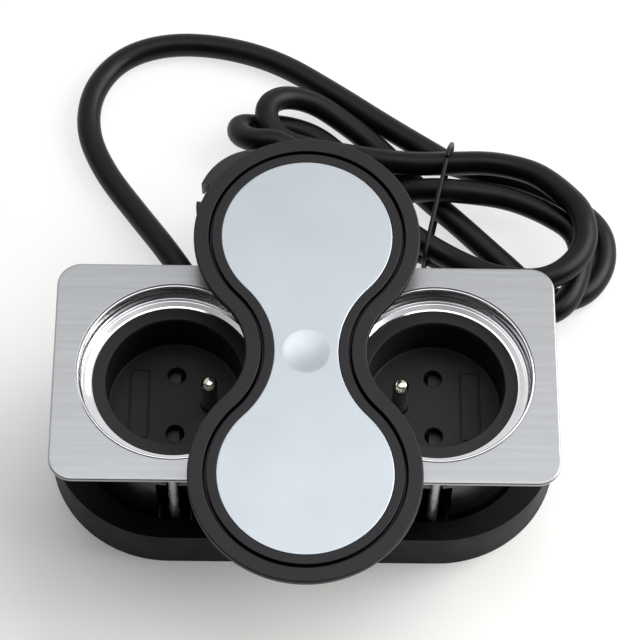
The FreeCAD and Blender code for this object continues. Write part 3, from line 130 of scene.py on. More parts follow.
# %% The bundle between them
stations = [
    (52.0, 98.6, WAIST_Z - 0.2, -24, -3),
    (79.0, 90.0, LAY_Z, -32, 0),
    (95.0, RIGHT_BEND - 3, LAY_Z, -90, 0),
    (79.5, 52.0, LAY_Z, 180, 0),
    (62.0, 65.0, LAY_Z + 0.4, 136, 3),
    (43.7, 82.8, WAIST_Z, 136, 0),
    (17.0, 112.2, 4.6, 141, 6),
    (-3.5, 122.3, 9.0, 178, 15),
    (-12.6, 113.2, 12.5, -84, 0),
    (-2.0, 102.3, 11.6, -13, 1),
    (43.0, 95.4, WAIST_TOP_Z, 1, 2),
    (62.5, 94.0, 15.6, -13, 5),
    (76.5, 87.0, 17.6, -43, 6),
    (87.2, RIGHT_BEND - 5, LAY_Z + 2 * LAYER, -90, 0),
    (68.0, 50.0, LAY_Z + 2 * LAYER - 0.7, 176, -4),
    (42.0, 63.0, WAIST_TOP_Z, 149, 3),
    (16.0, 84.0, WAIST_TOP_Z, 139, -2),
    (-3.0, 97.6, 16.6, 152, 6),
    (-13.0, 101.3, 17.1, 180, -8),
    (-21.5, 109.0, 10.7, 89, -35),
    (-12.0, 114.7, LAY_Z, 0, 0),
    (7.0, 107.6, LAY_Z + 0.2, -42, 0),
    (22.0, 92.5, 5.2, -44, 12),
    (45.0, 85.5, WAIST_TOP_Z, -4, 0),
    (70.0, 81.0, 13.1, -24, 0),
    (86.3, RIGHT_BEND - 8, LAY_Z + LAYER, -90, 0),
    (72.0, 43.6, 10.0, 176, -14),
]


def way(heading_deg, climb_deg):
    """The direction of a heading about Z, counted from X, and a climb."""
    h, c = math.radians(heading_deg), math.radians(climb_deg)
    return Vector((math.cos(h) * math.cos(c), math.sin(h) * math.cos(c), math.sin(c)))


def two_corners(p0, t0, p1, t1):
    """The corners of the two bends that lead from p0 along t0 to p1 along t1.

    Both lie d from their end, and 2 d from each other, so the spline passes half-way between
    them and keeps both directions.
    """
    v, t = p1 - p0, t0 + t1
    k = 2 * (1 - t0.dot(t1))
    if k < 1e-9:    # the same direction at both ends
        d = v.dot(v) / (4 * v.dot(t1))
    else:
        d = (math.sqrt(v.dot(t) ** 2 + k * v.dot(v)) - v.dot(t)) / k
    return [p0 + t0 * d, p1 - t1 * d]


start_way = (lead[-1] - lead[-2]).normalized()
end_way = (tail[1] - tail[0]).normalized()
marks = [(lead[-1] + start_way * 2 * CORD_R, start_way)]
marks += [(Vector((x, y, z)), way(heading, climb)) for x, y, z, heading, climb in stations]
marks.append((tail[0] - end_way * 2 * CORD_R, end_way))
bundle = []
for (p0, t0), (p1, t1) in zip(marks, marks[1:]):
    bundle += two_corners(p0, t0, p1, t1)
print("bundle points:", len(bundle))


# %% A wire along a spline, and the cable
def nurbs_wire(name, points, radius, steps=8, round_steps=6):
    """A round wire along one open NURBS spline. Points and radius are in millimetres.

    The bevel is 1 and each control point's radius is the wire's own, because Blender widens
    a curve's box by the radius of its points.
    """
    curve = bpy.data.curves.new(name, "CURVE")
    curve.dimensions = "3D"
    curve.bevel_depth = 1.0
    curve.bevel_resolution = round_steps
    curve.resolution_u = steps
    curve.use_fill_caps = True
    spline = curve.splines.new("NURBS")
    spline.points.add(len(points) - 1)
    for control, point in zip(spline.points, points):
        control.co = (*(Vector(point) * MM), 1.0)
        control.radius = radius * MM
    spline.order_u = 3
    spline.use_endpoint_u = True
    piece = bpy.data.objects.new(name, curve)
    bpy.context.scene.collection.objects.link(piece)
    return piece


cable = nurbs_wire("mains_cable", lead + bundle + tail, CORD_R, round_steps=8)
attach(cable, "housing")
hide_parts("cord_lead", "cord_hank", "cord_tail")
print("cable control points:", len(cable.data.splines[0].points))

# %% [markdown]
# ## Outlines and sections
#
# Most pieces of the block are one section carried round one outline: a circle, a rounded
# rectangle, or the cover's two lobes with hollow arcs at its waist. They could be cut out of
# solids, but cuts leave uneven faces that show in polished metal, and a carried section
# gives clean bands of them. An outline is a list of points with their outward normals, so
# that a section's points are simply so far outside or inside of it.

# %% Outlines, and sections with rounded corners
SOCKET_X = 38.0    # from the block's middle to a socket's, and to the middle of a lobe
LOBE_R = 33.0
LINE_SHARE = 0.49  # of a line, that the rounding at one of its ends may take up


def arc(x, y, radius, from_deg, to_deg, steps, hollow=False):
    """Points of an arc with their normals; a hollow arc's normals point to its centre."""
    made = []
    for i in range(steps + 1):
        a = math.radians(from_deg + (to_deg - from_deg) * i / steps)
        out = Vector((math.cos(a), math.sin(a)))
        made.append((Vector((x, y)) + out * radius, -out if hollow else out))
    return made


def circle(x, y, radius, steps=96):
    """A full circle; the last point would be the first again, so it is left out."""
    return arc(x, y, radius, 0, 360, steps)[:-1]


def turned(x, steps):
    """A circle of radius 0 on the X line: a section's offsets are then its radii."""
    return circle(x, 0, 0, steps)


def rounded_rectangle(half_x, half_y, corner_r, steps=14, x=0.0):
    """Four corner arcs; the straight sides are what joins them."""
    made = []
    for sx, sy, a in ((1, 1, 0), (-1, 1, 90), (-1, -1, 180), (1, -1, 270)):
        centre_x, centre_y = x + sx * (half_x - corner_r), sy * (half_y - corner_r)
        made += arc(centre_x, centre_y, corner_r, a, a + 90, steps)
    return made


def lobes(steps=72):
    """The cover's outline: two lobes along Y, and waist arcs about the sockets' centres."""
    waist_r = SOCKET_X * math.sqrt(2) - LOBE_R
    waist_steps = steps // 3
    return (arc(0, SOCKET_X, LOBE_R, -45, 225, steps)
            + arc(-SOCKET_X, 0, waist_r, 45, -45, waist_steps, hollow=True)[1:-1]
            + arc(0, -SOCKET_X, LOBE_R, 135, 405, steps)
            + arc(SOCKET_X, 0, waist_r, 225, 135, waist_steps, hollow=True)[1:-1])


def softened(points, closed=False, steps=4):
    """Rounds a section's corners; its points are (offset, height[, rounding radius])."""
    made = []
    count = len(points)
    for i, point in enumerate(points):
        here = Vector(point[:2])
        radius = point[2] if len(point) > 2 else 0
        if not radius or (not closed and i in (0, count - 1)):
            made.append(tuple(here))
            continue
        before, after = Vector(points[i - 1][:2]), Vector(points[(i + 1) % count][:2])
        a, b = (before - here).normalized(), (after - here).normalized()
        half = math.acos(max(-1, min(1, a.dot(b)))) / 2
        room = LINE_SHARE * min((before - here).length, (after - here).length)
        reach = min(radius / math.tan(half), room)
        radius = reach * math.tan(half)
        centre = here + (a + b).normalized() * (radius / math.sin(half))
        first, last = here + a * reach - centre, here + b * reach - centre
        turn = first.angle_signed(last)
        for k in range(steps + 1):
            arm = first.copy()
            arm.rotate(Matrix.Rotation(-turn * k / steps, 2))
            made.append(tuple(centre + arm))
    return made


print("outline points:", len(circle(0, 0, 1)), len(rounded_rectangle(2, 1, 1)), len(lobes()))

# %% [markdown]
# Ready-made primitives would overlap where they meet, so a piece is built as one mesh, vertex
# by vertex: strips that carry a section round an outline, and flat faces that close the
# rings they leave open, with holes where other rings lie inside.

# %% Strips, closing faces and finished pieces
def strip(bm, outline, section, closed=False):
    """Carries the section round the outline and returns its rings of vertices."""
    rings = []
    for offset, height in section:
        lift = Vector((0, 0, height * MM))
        rings.append([bm.verts.new(((p + n * offset) * MM).to_3d() + lift) for p, n in outline])
    pairs = list(zip(rings, rings[1:]))
    if closed:
        pairs.append((rings[-1], rings[0]))
    for lower, upper in pairs:
        for i in range(len(outline)):
            j = (i + 1) % len(outline)
            bm.faces.new((lower[i], lower[j], upper[j], upper[i]))
    return rings


def close(bm, *rings):
    """Closes one ring with a flat face, or the space between an outer ring and those inside it."""
    if len(rings) == 1:
        bm.faces.new(rings[0])
        return
    edges = []
    for ring in rings:
        for a, b in zip(ring, ring[1:] + ring[:1]):
            edges.append(bm.edges.get((a, b)) or bm.edges.new((a, b)))
    bmesh.ops.triangle_fill(bm, use_beauty=True, edges=edges)


def mark_painted_shade_faces(rings):
    """Marks the faces between the given rings for the piece's second material, which is painted
    shade.
    """
    inside = set(vert for ring in rings for vert in ring)
    for face in set(face for vert in inside for face in vert.link_faces):
        if all(vert in inside for vert in face.verts):
            face.material_index = 1


def finished(name, bm, body, replaces, sharp_deg=32):
    """Makes the mesh an object that rides on a body and stands for CAD nodes."""
    bmesh.ops.recalc_face_normals(bm, faces=bm.faces)
    mesh = bpy.data.meshes.new(name)
    bm.to_mesh(mesh)
    bm.free()
    mesh.shade_smooth()
    mesh.set_sharp_from_angle(angle=math.radians(sharp_deg))
    piece = bpy.data.objects.new(name, mesh)
    bpy.context.scene.collection.objects.link(piece)
    flat = piece.modifiers.new("flat faces stay flat", "WEIGHTED_NORMAL")
    flat.keep_sharp = True
    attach(piece, body)
    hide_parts(*replaces)
    return piece


def carried(name, outline, section, body, replaces):
    """A ring-shaped piece: one closed section carried round one outline."""
    bm = bmesh.new()
    strip(bm, outline, section, closed=True)
    return finished(name, bm, body, replaces)


print("points of a rounded corner:", len(softened([(0, 0), (0, 1, 0.2), (1, 1)])) - 2)

# %% [markdown]
# A CAD node whose shape is right, but whose edges are too crisp for a moulded piece, gets
# a copy with small rounded edges. They could be drawn by hand, but the bevel modifier finds
# them by their angle, and the copy stays true to the CAD.

# %% Moulded copies of CAD nodes
SAME_POINT = 0.001      # mm
FLAT_DEG = 0.6          # neighbouring faces that turn by less are one face
EDGE_DEG = 34           # edges that turn by more are rounded


def moulded(node, body, edge):
    """A copy of a CAD node with its edges rounded to about the given radius."""
    bm = bmesh.new()
    bm.from_mesh(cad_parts[node].data)
    bmesh.ops.remove_doubles(bm, verts=bm.verts, dist=SAME_POINT * MM)
    bmesh.ops.dissolve_limit(bm, angle_limit=math.radians(FLAT_DEG), verts=bm.verts, edges=bm.edges)
    for face in bm.faces:
        face.material_index = 0
    piece = finished(node + "_moulded", bm, body, (node,))
    rounding = piece.modifiers.new("rounded edges", "BEVEL")
    rounding.width = edge * MM
    rounding.segments = 2
    rounding.limit_method = "ANGLE"
    rounding.angle_limit = math.radians(EDGE_DEG)
    rounding.harden_normals = False
    piece.modifiers.move(1, 0)    # before the modifier that keeps flat faces flat
    return piece


print("edges rounded: those that turn by more than", EDGE_DEG, "degrees")

# %% [markdown]
# ## Plate and collars
#
# The plate is a sheet of stainless steel with two socket openings and a centre hole. Its
# edge is a small round that catches the light all the way about, so it is made as a strip
# with that round in its section, and not as a plain block with a sharp edge.

# %% The top plate
PLATE_TOP = 54.0
PLATE_UNDER = 52.8
PLATE_HALF_X, PLATE_HALF_Y, PLATE_CORNER_R = 73, 35, 7
SOCKET_OPENING_R = 28.4
CENTRE_HOLE_R = 7.1
openings = (
    (-SOCKET_X, SOCKET_OPENING_R), (SOCKET_X, SOCKET_OPENING_R), (0, CENTRE_HOLE_R))

bm = bmesh.new()
plate_edge = rounded_rectangle(PLATE_HALF_X, PLATE_HALF_Y, PLATE_CORNER_R)
outer = strip(bm, plate_edge, softened([
    (-0.3, PLATE_UNDER), (0, PLATE_UNDER, 0.15), (0, PLATE_TOP, 0.5), (-1.0, PLATE_TOP)], steps=5))
tops, unders = [outer[-1]], [outer[0]]
for x, radius in openings:
    hole = strip(bm, circle(x, 0, radius), softened([
        (0, PLATE_UNDER), (0, PLATE_TOP, 0.12), (0.5, PLATE_TOP)], steps=3))
    tops.append(hole[-1])
    unders.append(hole[0])
close(bm, *tops)
close(bm, *unders)
plate = finished("steel_top_plate", bm, "housing", ("top_plate",))
print("plate faces:", len(plate.data.polygons))

# %% [markdown]
# Each collar is a turned and polished ring: a thin lip at the plate, an upright wall with a
# small step half-way down, and at its foot a ring that holds the insert and slopes a little
# towards it. A turned piece is its section carried round a circle. What it mirrors depends
# on small roundings, so each corner of the section has its own.

# %% The collars
ROUND_STEPS = 128    # round a socket, fine enough for a mirror


def collar(name, node, x):
    """One collar; its section's points are (radius, height, rounding)."""
    section = softened([
        (24.0, 47.2), (28.3, 47.2), (28.3, 51.4), (29.2, 51.4), (29.2, 52.8, 0.1), (28.2, 52.8),
        (28.2, 53.9, 0.3), (27.7, 53.9, 0.3), (27.45, 53.5, 0.2), (27.45, 50.6, 0.2),
        (27.1, 50.25, 0.2), (27.1, 48.1, 0.4), (25.9, 48.05, 0.5), (24.5, 47.45, 0.15),
        (24.0, 47.4),
    ], closed=True, steps=5)
    return carried(name, turned(x, ROUND_STEPS), section, "housing", (node,))


left_collar = collar("left_chrome_collar", "collar_left", -SOCKET_X)
right_collar = collar("right_chrome_collar", "collar_right", SOCKET_X)
print("collar faces:", len(left_collar.data.polygons))

# %% [markdown]
# ## Socket inserts and earth pins
#
# Each insert is a matte moulded cup with a flat rim. Its floor has two contact holes, the
# hole that the earth pin comes through, and a bare panel framed by a fine groove. Wall,
# holes and groove are strips, and flat faces with holes in them close what lies between:
# so every edge keeps its small rounding, which a cut would leave sharp.

# %% The socket inserts
RIM_TOP = 47.2
FLOOR = 32.0
CUP_UNDER = 29.0
CONTACT_Y = 9.5           # the contact holes, 19 apart
CONTACT_HOLE_R = 2.7
EARTH_X = 10.0            # the earth pin, from the recess's middle towards the block's
EARTH_HOLE_R = 2.5
HOLE_STEPS = 40
PANEL_X = 10.9            # the framed panel, on the other side
PANEL_HALF_X, PANEL_HALF_Y, PANEL_CORNER_R = 3.0, 11.2, 0.8
GROOVE_FLOOR = FLOOR - 0.3


def socket_insert(name, nodes, x):
    """One insert, with its earth side towards the block's middle."""
    side = 1 if x > 0 else -1
    holes = ((x, CONTACT_Y, CONTACT_HOLE_R), (x, -CONTACT_Y, CONTACT_HOLE_R),
             (x - side * EARTH_X, 0, EARTH_HOLE_R))
    bm = bmesh.new()
    cup = strip(bm, turned(x, ROUND_STEPS), softened([
        (22.2, CUP_UNDER, 0.5), (22.2, 45.2, 0.2), (24.5, 45.2, 0.3), (24.5, RIM_TOP, 0.3),
        (20.3, RIM_TOP, 0.3), (20.0, 46.6, 0.5), (20.0, FLOOR, 0.8), (18.9, FLOOR)], steps=4))
    floor_rings, under_rings = [cup[-1]], [cup[0]]
    for hole_x, hole_y, radius in holes:
        hole = strip(bm, circle(hole_x, hole_y, radius, HOLE_STEPS), softened([
            (0, CUP_UNDER), (0, FLOOR, 0.25), (0.5, FLOOR)], steps=3))
        floor_rings.append(hole[-1])
        under_rings.append(hole[0])
    panel = rounded_rectangle(
        PANEL_HALF_X, PANEL_HALF_Y, PANEL_CORNER_R, steps=3, x=x + side * PANEL_X)
    groove = strip(bm, panel, softened([
        (0.12, FLOOR), (-0.05, GROOVE_FLOOR, 0.1), (-0.4, GROOVE_FLOOR, 0.1),
        (-0.57, FLOOR)], steps=2))
    floor_rings.append(groove[0])
    close(bm, groove[-1])
    close(bm, *floor_rings)
    close(bm, *under_rings)
    return finished(name, bm, "housing", nodes)


left_insert = socket_insert(
    "left_socket_insert", ("socket_insert_left", "recess_floor_left"), -SOCKET_X)
right_insert = socket_insert(
    "right_socket_insert", ("socket_insert_right", "recess_floor_right"), SOCKET_X)
print("insert faces:", len(left_insert.data.polygons))

# %% [markdown]
# An earth pin is a turned, nickel-plated stud. Its flange holds it from below, a fine ring
# is turned in near its top, and its end is a blunt round. Both pins are one CAD node, so
# they are built in one mesh.

# %% The earth pins
PIN_R = 2.4
PIN_SHANK_R = 2.2
PIN_FLANGE_R = 3.6
PIN_TOP = 47.4

bm = bmesh.new()
for x in (EARTH_X - SOCKET_X, SOCKET_X - EARTH_X):
    pin = strip(bm, turned(x, HOLE_STEPS), softened([
        (PIN_SHANK_R, 16.9), (PIN_SHANK_R, 18.5), (PIN_FLANGE_R, 18.5, 0.1),
        (PIN_FLANGE_R, 19.3, 0.1), (PIN_SHANK_R, 19.3), (PIN_SHANK_R, 32.4), (PIN_R, 32.4, 0.1),
        (PIN_R, PIN_TOP - 3.3), (2.32, PIN_TOP - 3.1), (PIN_R, PIN_TOP - 2.9),
        (PIN_R, PIN_TOP - 1.9, 0.9), (1.5, PIN_TOP - 0.35, 1.0), (0.25, PIN_TOP)], steps=6))
    close(bm, pin[0])
    close(bm, pin[-1])
earth_pins = finished(
    "nickel_earth_pins", bm, "housing", ("earth_pins",), sharp_deg=50)
print("pin faces:", len(earth_pins.data.polygons))

# %% [markdown]
# ## The cover
#
# The real cover is a moulded shell, a carrier that lies in it behind a narrow groove, a metal
# insert with a finger dimple, and a seal below the rim. The groove's sides and floor are made
# near black as painted shade. All four follow the same two lobes, each at its own distance from
# their edge. One mesh with several materials would look alike in the picture, but real pieces
# have a real gap between them, with its own shade, so they are four. Offsets are measured from
# the rim's outer edge, so inwards is negative.

# %% Shell, carrier and seal of the cover
COVER_TOP = 67.0
CARRIER_SEAT = 65.0       # the shell's floor, on which the carrier lies
INSERT_SEAT = 66.0        # the carrier's floor, on which the insert lies
SHELL_UNDER = 63.2
POST_HOLE_R = 4.9
HEAD_HOLE_R = 9.55
cover_outline = lobes()

bm = bmesh.new()
shell = strip(bm, cover_outline, softened([
    (-4.0, SHELL_UNDER, 0.2), (-4.0, 64.2), (-3.4, 64.2), (-3.4, 65.0), (-1.4, 65.0), (-1.4, 64.2),
    (-0.6, 64.2, 0.1), (-0.6, 65.0), (0, 65.0, 0.25), (0, COVER_TOP, 0.5), (-4.3, COVER_TOP, 0.25),
    (-4.35, CARRIER_SEAT), (-4.7, CARRIER_SEAT)], steps=5))
# The groove's inner wall and floor on the shell get painted shade.
mark_painted_shade_faces(shell[-3:])
post_hole = strip(bm, circle(0, 0, POST_HOLE_R, 48), [(0, SHELL_UNDER), (0, CARRIER_SEAT)])
close(bm, shell[0], post_hole[0])
close(bm, shell[-1], post_hole[-1])
cover_shell = finished("cover_shell_with_rim", bm, "cover", ("cover_shell",))

bm = bmesh.new()
ring = strip(bm, cover_outline, softened([
    (-5.3, CARRIER_SEAT), (-5.3, COVER_TOP, 0.25), (-8.05, COVER_TOP, 0.15),
    (-8.05, INSERT_SEAT), (-8.6, INSERT_SEAT)], steps=5))
# The carrier's side of the groove gets painted shade.
mark_painted_shade_faces(ring[:2])
head_hole = strip(bm, circle(0, 0, HEAD_HOLE_R, 64), [(0, CARRIER_SEAT), (0, INSERT_SEAT)])
close(bm, ring[0], head_hole[0])
close(bm, ring[-1], head_hole[-1])
cover_carrier = finished("cover_carrier_ring", bm, "cover", ("cover_carrier",))

seal = carried("cover_seal_lip", cover_outline, softened([
    (-3.4, 65.0), (-3.4, 63.0, 0.4), (-2.2, 62.9, 0.2), (-1.4, 63.5, 0.4), (-1.4, 65.0)],
    closed=True), "cover", ("cover_seal",))
print("shell and carrier faces:", len(cover_shell.data.polygons), len(cover_carrier.data.polygons))

# %% [markdown]
# The insert is pressed from sheet aluminium. Its dimple is a shallow bowl for a fingertip,
# drawn down with a soft edge. A hard ring would show there if the bowl were cut in, so the
# bowl is a turned strip whose height follows a curve that runs out flat.

# %% The metal insert and its dimple
DIMPLE_R = 6.9
DIMPLE_DEPTH = 0.75
DIMPLE_SOFTNESS = 1.25    # above 1 the bowl's edge has no crease


def dimple_height(r):
    """The bowl's height at a distance from its middle: a round bottom that runs out softly."""
    t = min(1.0, r / DIMPLE_R)
    return COVER_TOP - DIMPLE_DEPTH * (1 - t ** 2) ** DIMPLE_SOFTNESS


bm = bmesh.new()
edge = strip(bm, cover_outline, softened([
    (-8.1, INSERT_SEAT), (-8.1, COVER_TOP, 0.28), (-9.0, COVER_TOP)], steps=4))
close(bm, edge[0])
bowl = strip(bm, turned(0, 72), [(r, dimple_height(r)) for r in (
    7.8, 7.1, 6.9, 6.6, 6.2, 5.7, 5.1, 4.4, 3.6, 2.8, 2.0, 1.2, 0.5)])
close(bm, bowl[-1])
close(bm, edge[-1], bowl[0])
cover_insert = finished(
    "cover_metal_insert", bm, "cover", ("cover_insert",), sharp_deg=50)
print("cover insert faces:", len(cover_insert.data.polygons))

# %% [markdown]
# ## Strain reliefs
#
# A strain relief is a soft moulded sleeve that tapers along the cable, with grooves that let
# it bend. It is round about the cable's own line, so it is easiest to turn it upright, about
# Z, and then lay it along that line.

# %% The strain reliefs
RIB_START, RIB_END = 3.0, 2.0     # left plain before the first rib and after the last
GROOVE_SHARE = 0.38               # of each rib's pitch
GROOVE_SLOPE = 0.3
RELIEF_STEPS = 48
PLUG_SIDE_X = 6.0                 # where the plug's relief starts


def laid_along(bm, start, axis):
    """Moves a mesh that was built about Z so that it starts at a point and runs along an axis."""
    turn = Vector((0, 0, 1)).rotation_difference(Vector(axis)).to_matrix().to_4x4()
    bmesh.ops.transform(bm, matrix=Matrix.Translation(Vector(start) * MM) @ turn, verts=bm.verts)


def ribbed_taper(start_r, end_r, first, last, ribs, groove):
    """A tapering section with round ribs, as on a moulded strain relief."""
    made = [(start_r, first, 0.3)]
    pitch = (last - first - RIB_START - RIB_END) / ribs
    for i in range(ribs):
        t = first + RIB_START + i * pitch
        rise = t + pitch * GROOVE_SHARE
        for at, cut in (
                (t, 0), (t + GROOVE_SLOPE, groove), (rise, groove), (rise + GROOVE_SLOPE, 0)):
            share = (at - first) / (last - first)
            made.append((start_r + (end_r - start_r) * share - cut, at, 0.25))
    made.append((end_r, last, 0.5))
    return made


bm = bmesh.new()
strip(bm, turned(0, RELIEF_STEPS), softened(
    [(3.84, -7.5), (5.4, -7.5), (5.4, -6.02), (4.28, -6.0), (4.28, 8.0)]
    + ribbed_taper(5.6, 4.6, 8.0, RELIEF_END, ribs=5, groove=0.8)
    + [(3.84, RELIEF_END)], closed=True, steps=3), closed=True)
laid_along(bm, BOSS_AT, boss_axis)
cord_relief = finished(
    "strain_relief_at_housing", bm, "housing", ("cord_relief",), sharp_deg=60)

bm = bmesh.new()
relief = strip(bm, turned(0, RELIEF_STEPS), softened(
    [(3.8, -3.0), (3.8, 0.0)] + ribbed_taper(5.2, 4.5, 0.0, 16.5, ribs=4, groove=0.7)
    + [(3.9, 16.5)], steps=3))
close(bm, relief[0])
close(bm, relief[-1])
laid_along(bm, (PLUG_SIDE_X, PLUG_NECK_Y, PLUG_NECK_Z), (1, 0, 0))
plug_relief = finished(
    "strain_relief_at_plug", bm, "housing", ("plug_relief",), sharp_deg=60)
print("relief faces:", len(cord_relief.data.polygons), len(plug_relief.data.polygons))

# %% [markdown]
# ## Twist tie
#
# A twist tie is one thin coated wire. Here it runs in an upright plane, round all the
# strands where the bundle is narrowest, and its two ends meet over the uppermost strand at
# the back, one folded over the other. It is bent wire, so it gets the same kind of curve as
# the cable, with its bends' corners as control points.

# %% The twist tie
TIE_AT = Vector((46.0, 101.0, 0))
TIE_WAY = Vector((-0.213, -0.977, 0))
TIE_R = 0.7
TIE_TOP = WAIST_TOP_Z + CORD_R + TIE_R + 0.35
tie_points = [TIE_AT + TIE_WAY * s + Vector((0, 0, z)) for s, z in (
    (6.6, TIE_TOP + 1.0), (4.0, TIE_TOP + 0.8), (1.9, TIE_TOP - 0.8), (-6.4, 7.5), (-6.4, 0.72),
    (38.6, 0.72), (42.1, 9.5), (41.6, TIE_TOP), (6.0, TIE_TOP), (4.0, TIE_TOP - 0.4))]
tie = nurbs_wire("twist_tie_wire", tie_points, TIE_R, steps=12, round_steps=4)
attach(tie, "housing")
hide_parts("twist_tie")
print("tie control points:", len(tie_points))

# %% [markdown]
# ## Plug, housing, frame and screws
#
# The CAD has these shapes right. Real moulded and pressed pieces have no knife edges, and it
# is their small rounds that catch the light, so these are the CAD's nodes with such rounds.
# A larger piece gets a larger one.

# %% Plug, housing, frame, gasket and screws
plug_body = moulded("plug_body", "housing", edge=0.6)
plug_pins = moulded("plug_pins", "housing", edge=0.25)
plug_clips = moulded("plug_earth_clips", "housing", edge=0.15)
clamp_frame = moulded("clamp_frame", "clamp_frame", edge=0.55)
housing_base = moulded("housing_base", "housing", edge=0.3)
housing_upper = moulded("housing_upper", "housing", edge=0.3)
gasket = moulded("plate_gasket", "housing", edge=0.25)
clamp_screws = [
    moulded("clamp_screw_%d" % number, "clamp_screw_%d" % number, edge=0.12)
    for number in range(1, 5)]
print("plug faces:", len(plug_body.data.polygons), "frame faces:", len(clamp_frame.data.polygons))

# %% [markdown]
# The cable leaves the housing where its strain relief ends.

# %% Where the cord leaves
print("the cord leaves at", [round(c * MM, 4) for c in relief_end])

# %% [markdown]
# ## Materials
#
# Every finish is drawn by nodes, so nothing is read from a picture. Colours are written in
# hex, as they look on a screen, and one function turns them to linear light, in which the
# shader counts. Pattern sizes are real millimetres. One function adds a node with its
# settings and links, so that each finish below reads as the list of its nodes.

# %% Colours, scales, and the function that adds a node
NOISE_LOW, NOISE_HIGH = 0.3, 0.7    # a noise's values lie nearly all between these
WAVE_RADIANS = 20                   # the wave texture turns this far for a length of 1


def srgb(hex_colour):
    """The linear colour of a hex value."""
    made = []
    for i in (0, 2, 4):
        c = int(hex_colour[i:i + 2], 16) / 255
        made.append(c / 12.92 if c <= 0.04045 else ((c + 0.055) / 1.055) ** 2.4)
    return (*made, 1.0)


def shade(hex_colour, factor):
    """The same colour, darker or lighter."""
    r, g, b, a = srgb(hex_colour)
    return (min(1, r * factor), min(1, g * factor), min(1, b * factor), a)


def per_mm(size_mm):
    """The noise scale at which one grain is that large."""
    return 1 / (size_mm * MM)


def band_scale(pitch_mm):
    """The wave scale at which its bands are that far apart."""
    return 2 * math.pi / (WAVE_RADIANS * pitch_mm * MM)


def feed(tree, node, inputs):
    """Sets a node's inputs: each gets a value, or a link from another node's output."""
    for key, value in inputs.items():
        if isinstance(value, bpy.types.NodeSocket):
            tree.links.new(value, node.inputs[key])
        else:
            node.inputs[key].default_value = value


def add(tree, kind, inputs, stops=(), **settings):
    """Adds a node with its settings and links; stops are the (place, colour) of a ramp."""
    node = tree.nodes.new(kind)
    for key, value in settings.items():
        setattr(node, key, value)
    feed(tree, node, inputs)
    if stops:
        ramp = node.color_ramp.elements
        ramp[0].position, ramp[1].position = stops[0][0], stops[-1][0]
        for stop_at, _ in stops[1:-1]:
            ramp.new(stop_at)
        for element, (_, colour) in zip(ramp, stops):
            element.color = colour
    return node


def new_material(name, roughness, metallic=0.0):
    """A material with its shader and the place on the object, in metres."""
    made = bpy.data.materials.new(name)
    made.use_nodes = True
    tree = made.node_tree
    shader = tree.nodes["Principled BSDF"]
    feed(tree, shader, {"Roughness": roughness, "Metallic": metallic})
    where = add(tree, "ShaderNodeTexCoord", {}).outputs["Object"]
    return made, tree, shader, where


print("mid grey in linear light:", round(srgb("808080")[0], 3))

# %% [markdown]
# ### Moulded plastic and rubber
#
# Cover, inserts, frame, housing and plug are moulded: thermoplastics such as ABS, nylon and
# polycarbonate, and rubber for the seals. A mould is eroded on purpose, and its fine grain
# scatters the sheen. The flow of the melt leaves a slow mottle in colour and gloss, and on
# the cover, specks of a pale filler lie in the surface. One colour would look like paint, so
# grain, mottle and specks are three noises. Real grain is 0.05 to 0.1 mm wide. That is finer
# than a pixel here, so it is drawn 0.25 to 0.5 mm wide.
# Plastics reflect alike, with an IOR near 1.5, so that is kept, and the sheen is matched to
# the object by the specular level.

# %% Plastics and rubber
MOTTLE_MM = 9.0
SPECK_MM = 0.5
SPECKS_FROM, SPECKS_FULL = 0.62, 0.78    # only the noise's peaks are specks


def plastic(name, hex_colour, roughness, grain_mm=0.35, depth_mm=0.012, specks=0.0, gloss=0.35):
    """Moulded plastic: mottle, grain and, if wanted, specks."""
    made, tree, shader, where = new_material(name, roughness)
    mottle = add(tree, "ShaderNodeTexNoise", {
        "Vector": where, "Scale": per_mm(MOTTLE_MM), "Detail": 2.0, "Roughness": 0.5})
    fine = add(tree, "ShaderNodeTexNoise", {
        "Vector": where, "Scale": per_mm(grain_mm), "Detail": 4.0, "Roughness": 0.6})
    colour = add(tree, "ShaderNodeValToRGB", {"Fac": mottle.outputs["Fac"]}, stops=(
        (NOISE_LOW, shade(hex_colour, 0.9)), (NOISE_HIGH, shade(hex_colour, 1.1))))
    if specks:
        dust = add(tree, "ShaderNodeTexNoise", {
            "Vector": where, "Scale": per_mm(SPECK_MM), "Detail": 2.0, "Roughness": 0.7})
        amount = add(tree, "ShaderNodeMapRange", {
            "Value": dust.outputs["Fac"], "From Min": SPECKS_FROM, "From Max": SPECKS_FULL,
            "To Min": 0.0, "To Max": specks})
        colour = add(tree, "ShaderNodeMixRGB", {
            "Fac": amount.outputs["Result"], "Color1": colour.outputs["Color"],
            "Color2": srgb("b4b2b0")})
    dullness = add(tree, "ShaderNodeMapRange", {
        "Value": mottle.outputs["Fac"], "From Min": NOISE_LOW, "From Max": NOISE_HIGH,
        "To Min": roughness - 0.05, "To Max": roughness + 0.05})
    bump = add(tree, "ShaderNodeBump", {
        "Height": fine.outputs["Fac"], "Distance": depth_mm * MM, "Strength": 1.0})
    feed(tree, shader, {
        "Specular IOR Level": gloss, "Base Color": colour.outputs["Color"],
        "Roughness": dullness.outputs["Result"], "Normal": bump.outputs["Normal"]})
    return made


# ABS with a pale filler: charcoal with a soft grey sheen, and specks that only show close by.
cover_charcoal = plastic("cover_rim_moulded_abs", "171619", 0.50, specks=0.08, gloss=0.26)
carrier_charcoal = plastic("cover_carrier_moulded_abs", "151418", 0.46, specks=0.04, gloss=0.26)
# Painted shade: the same ABS, made near black and dull for the groove's sides and floor, so that
# the groove stays black.
groove_painted_shade = plastic("groove_sides_painted_shade", "050505", 0.75, gloss=0.05)
# Nylon: matte, with a warm grey veil on the faces that look at the window.
insert_plastic = plastic(
    "socket_insert_moulded_nylon", "1a181a", 0.52, grain_mm=0.3, depth_mm=0.015, gloss=0.25)
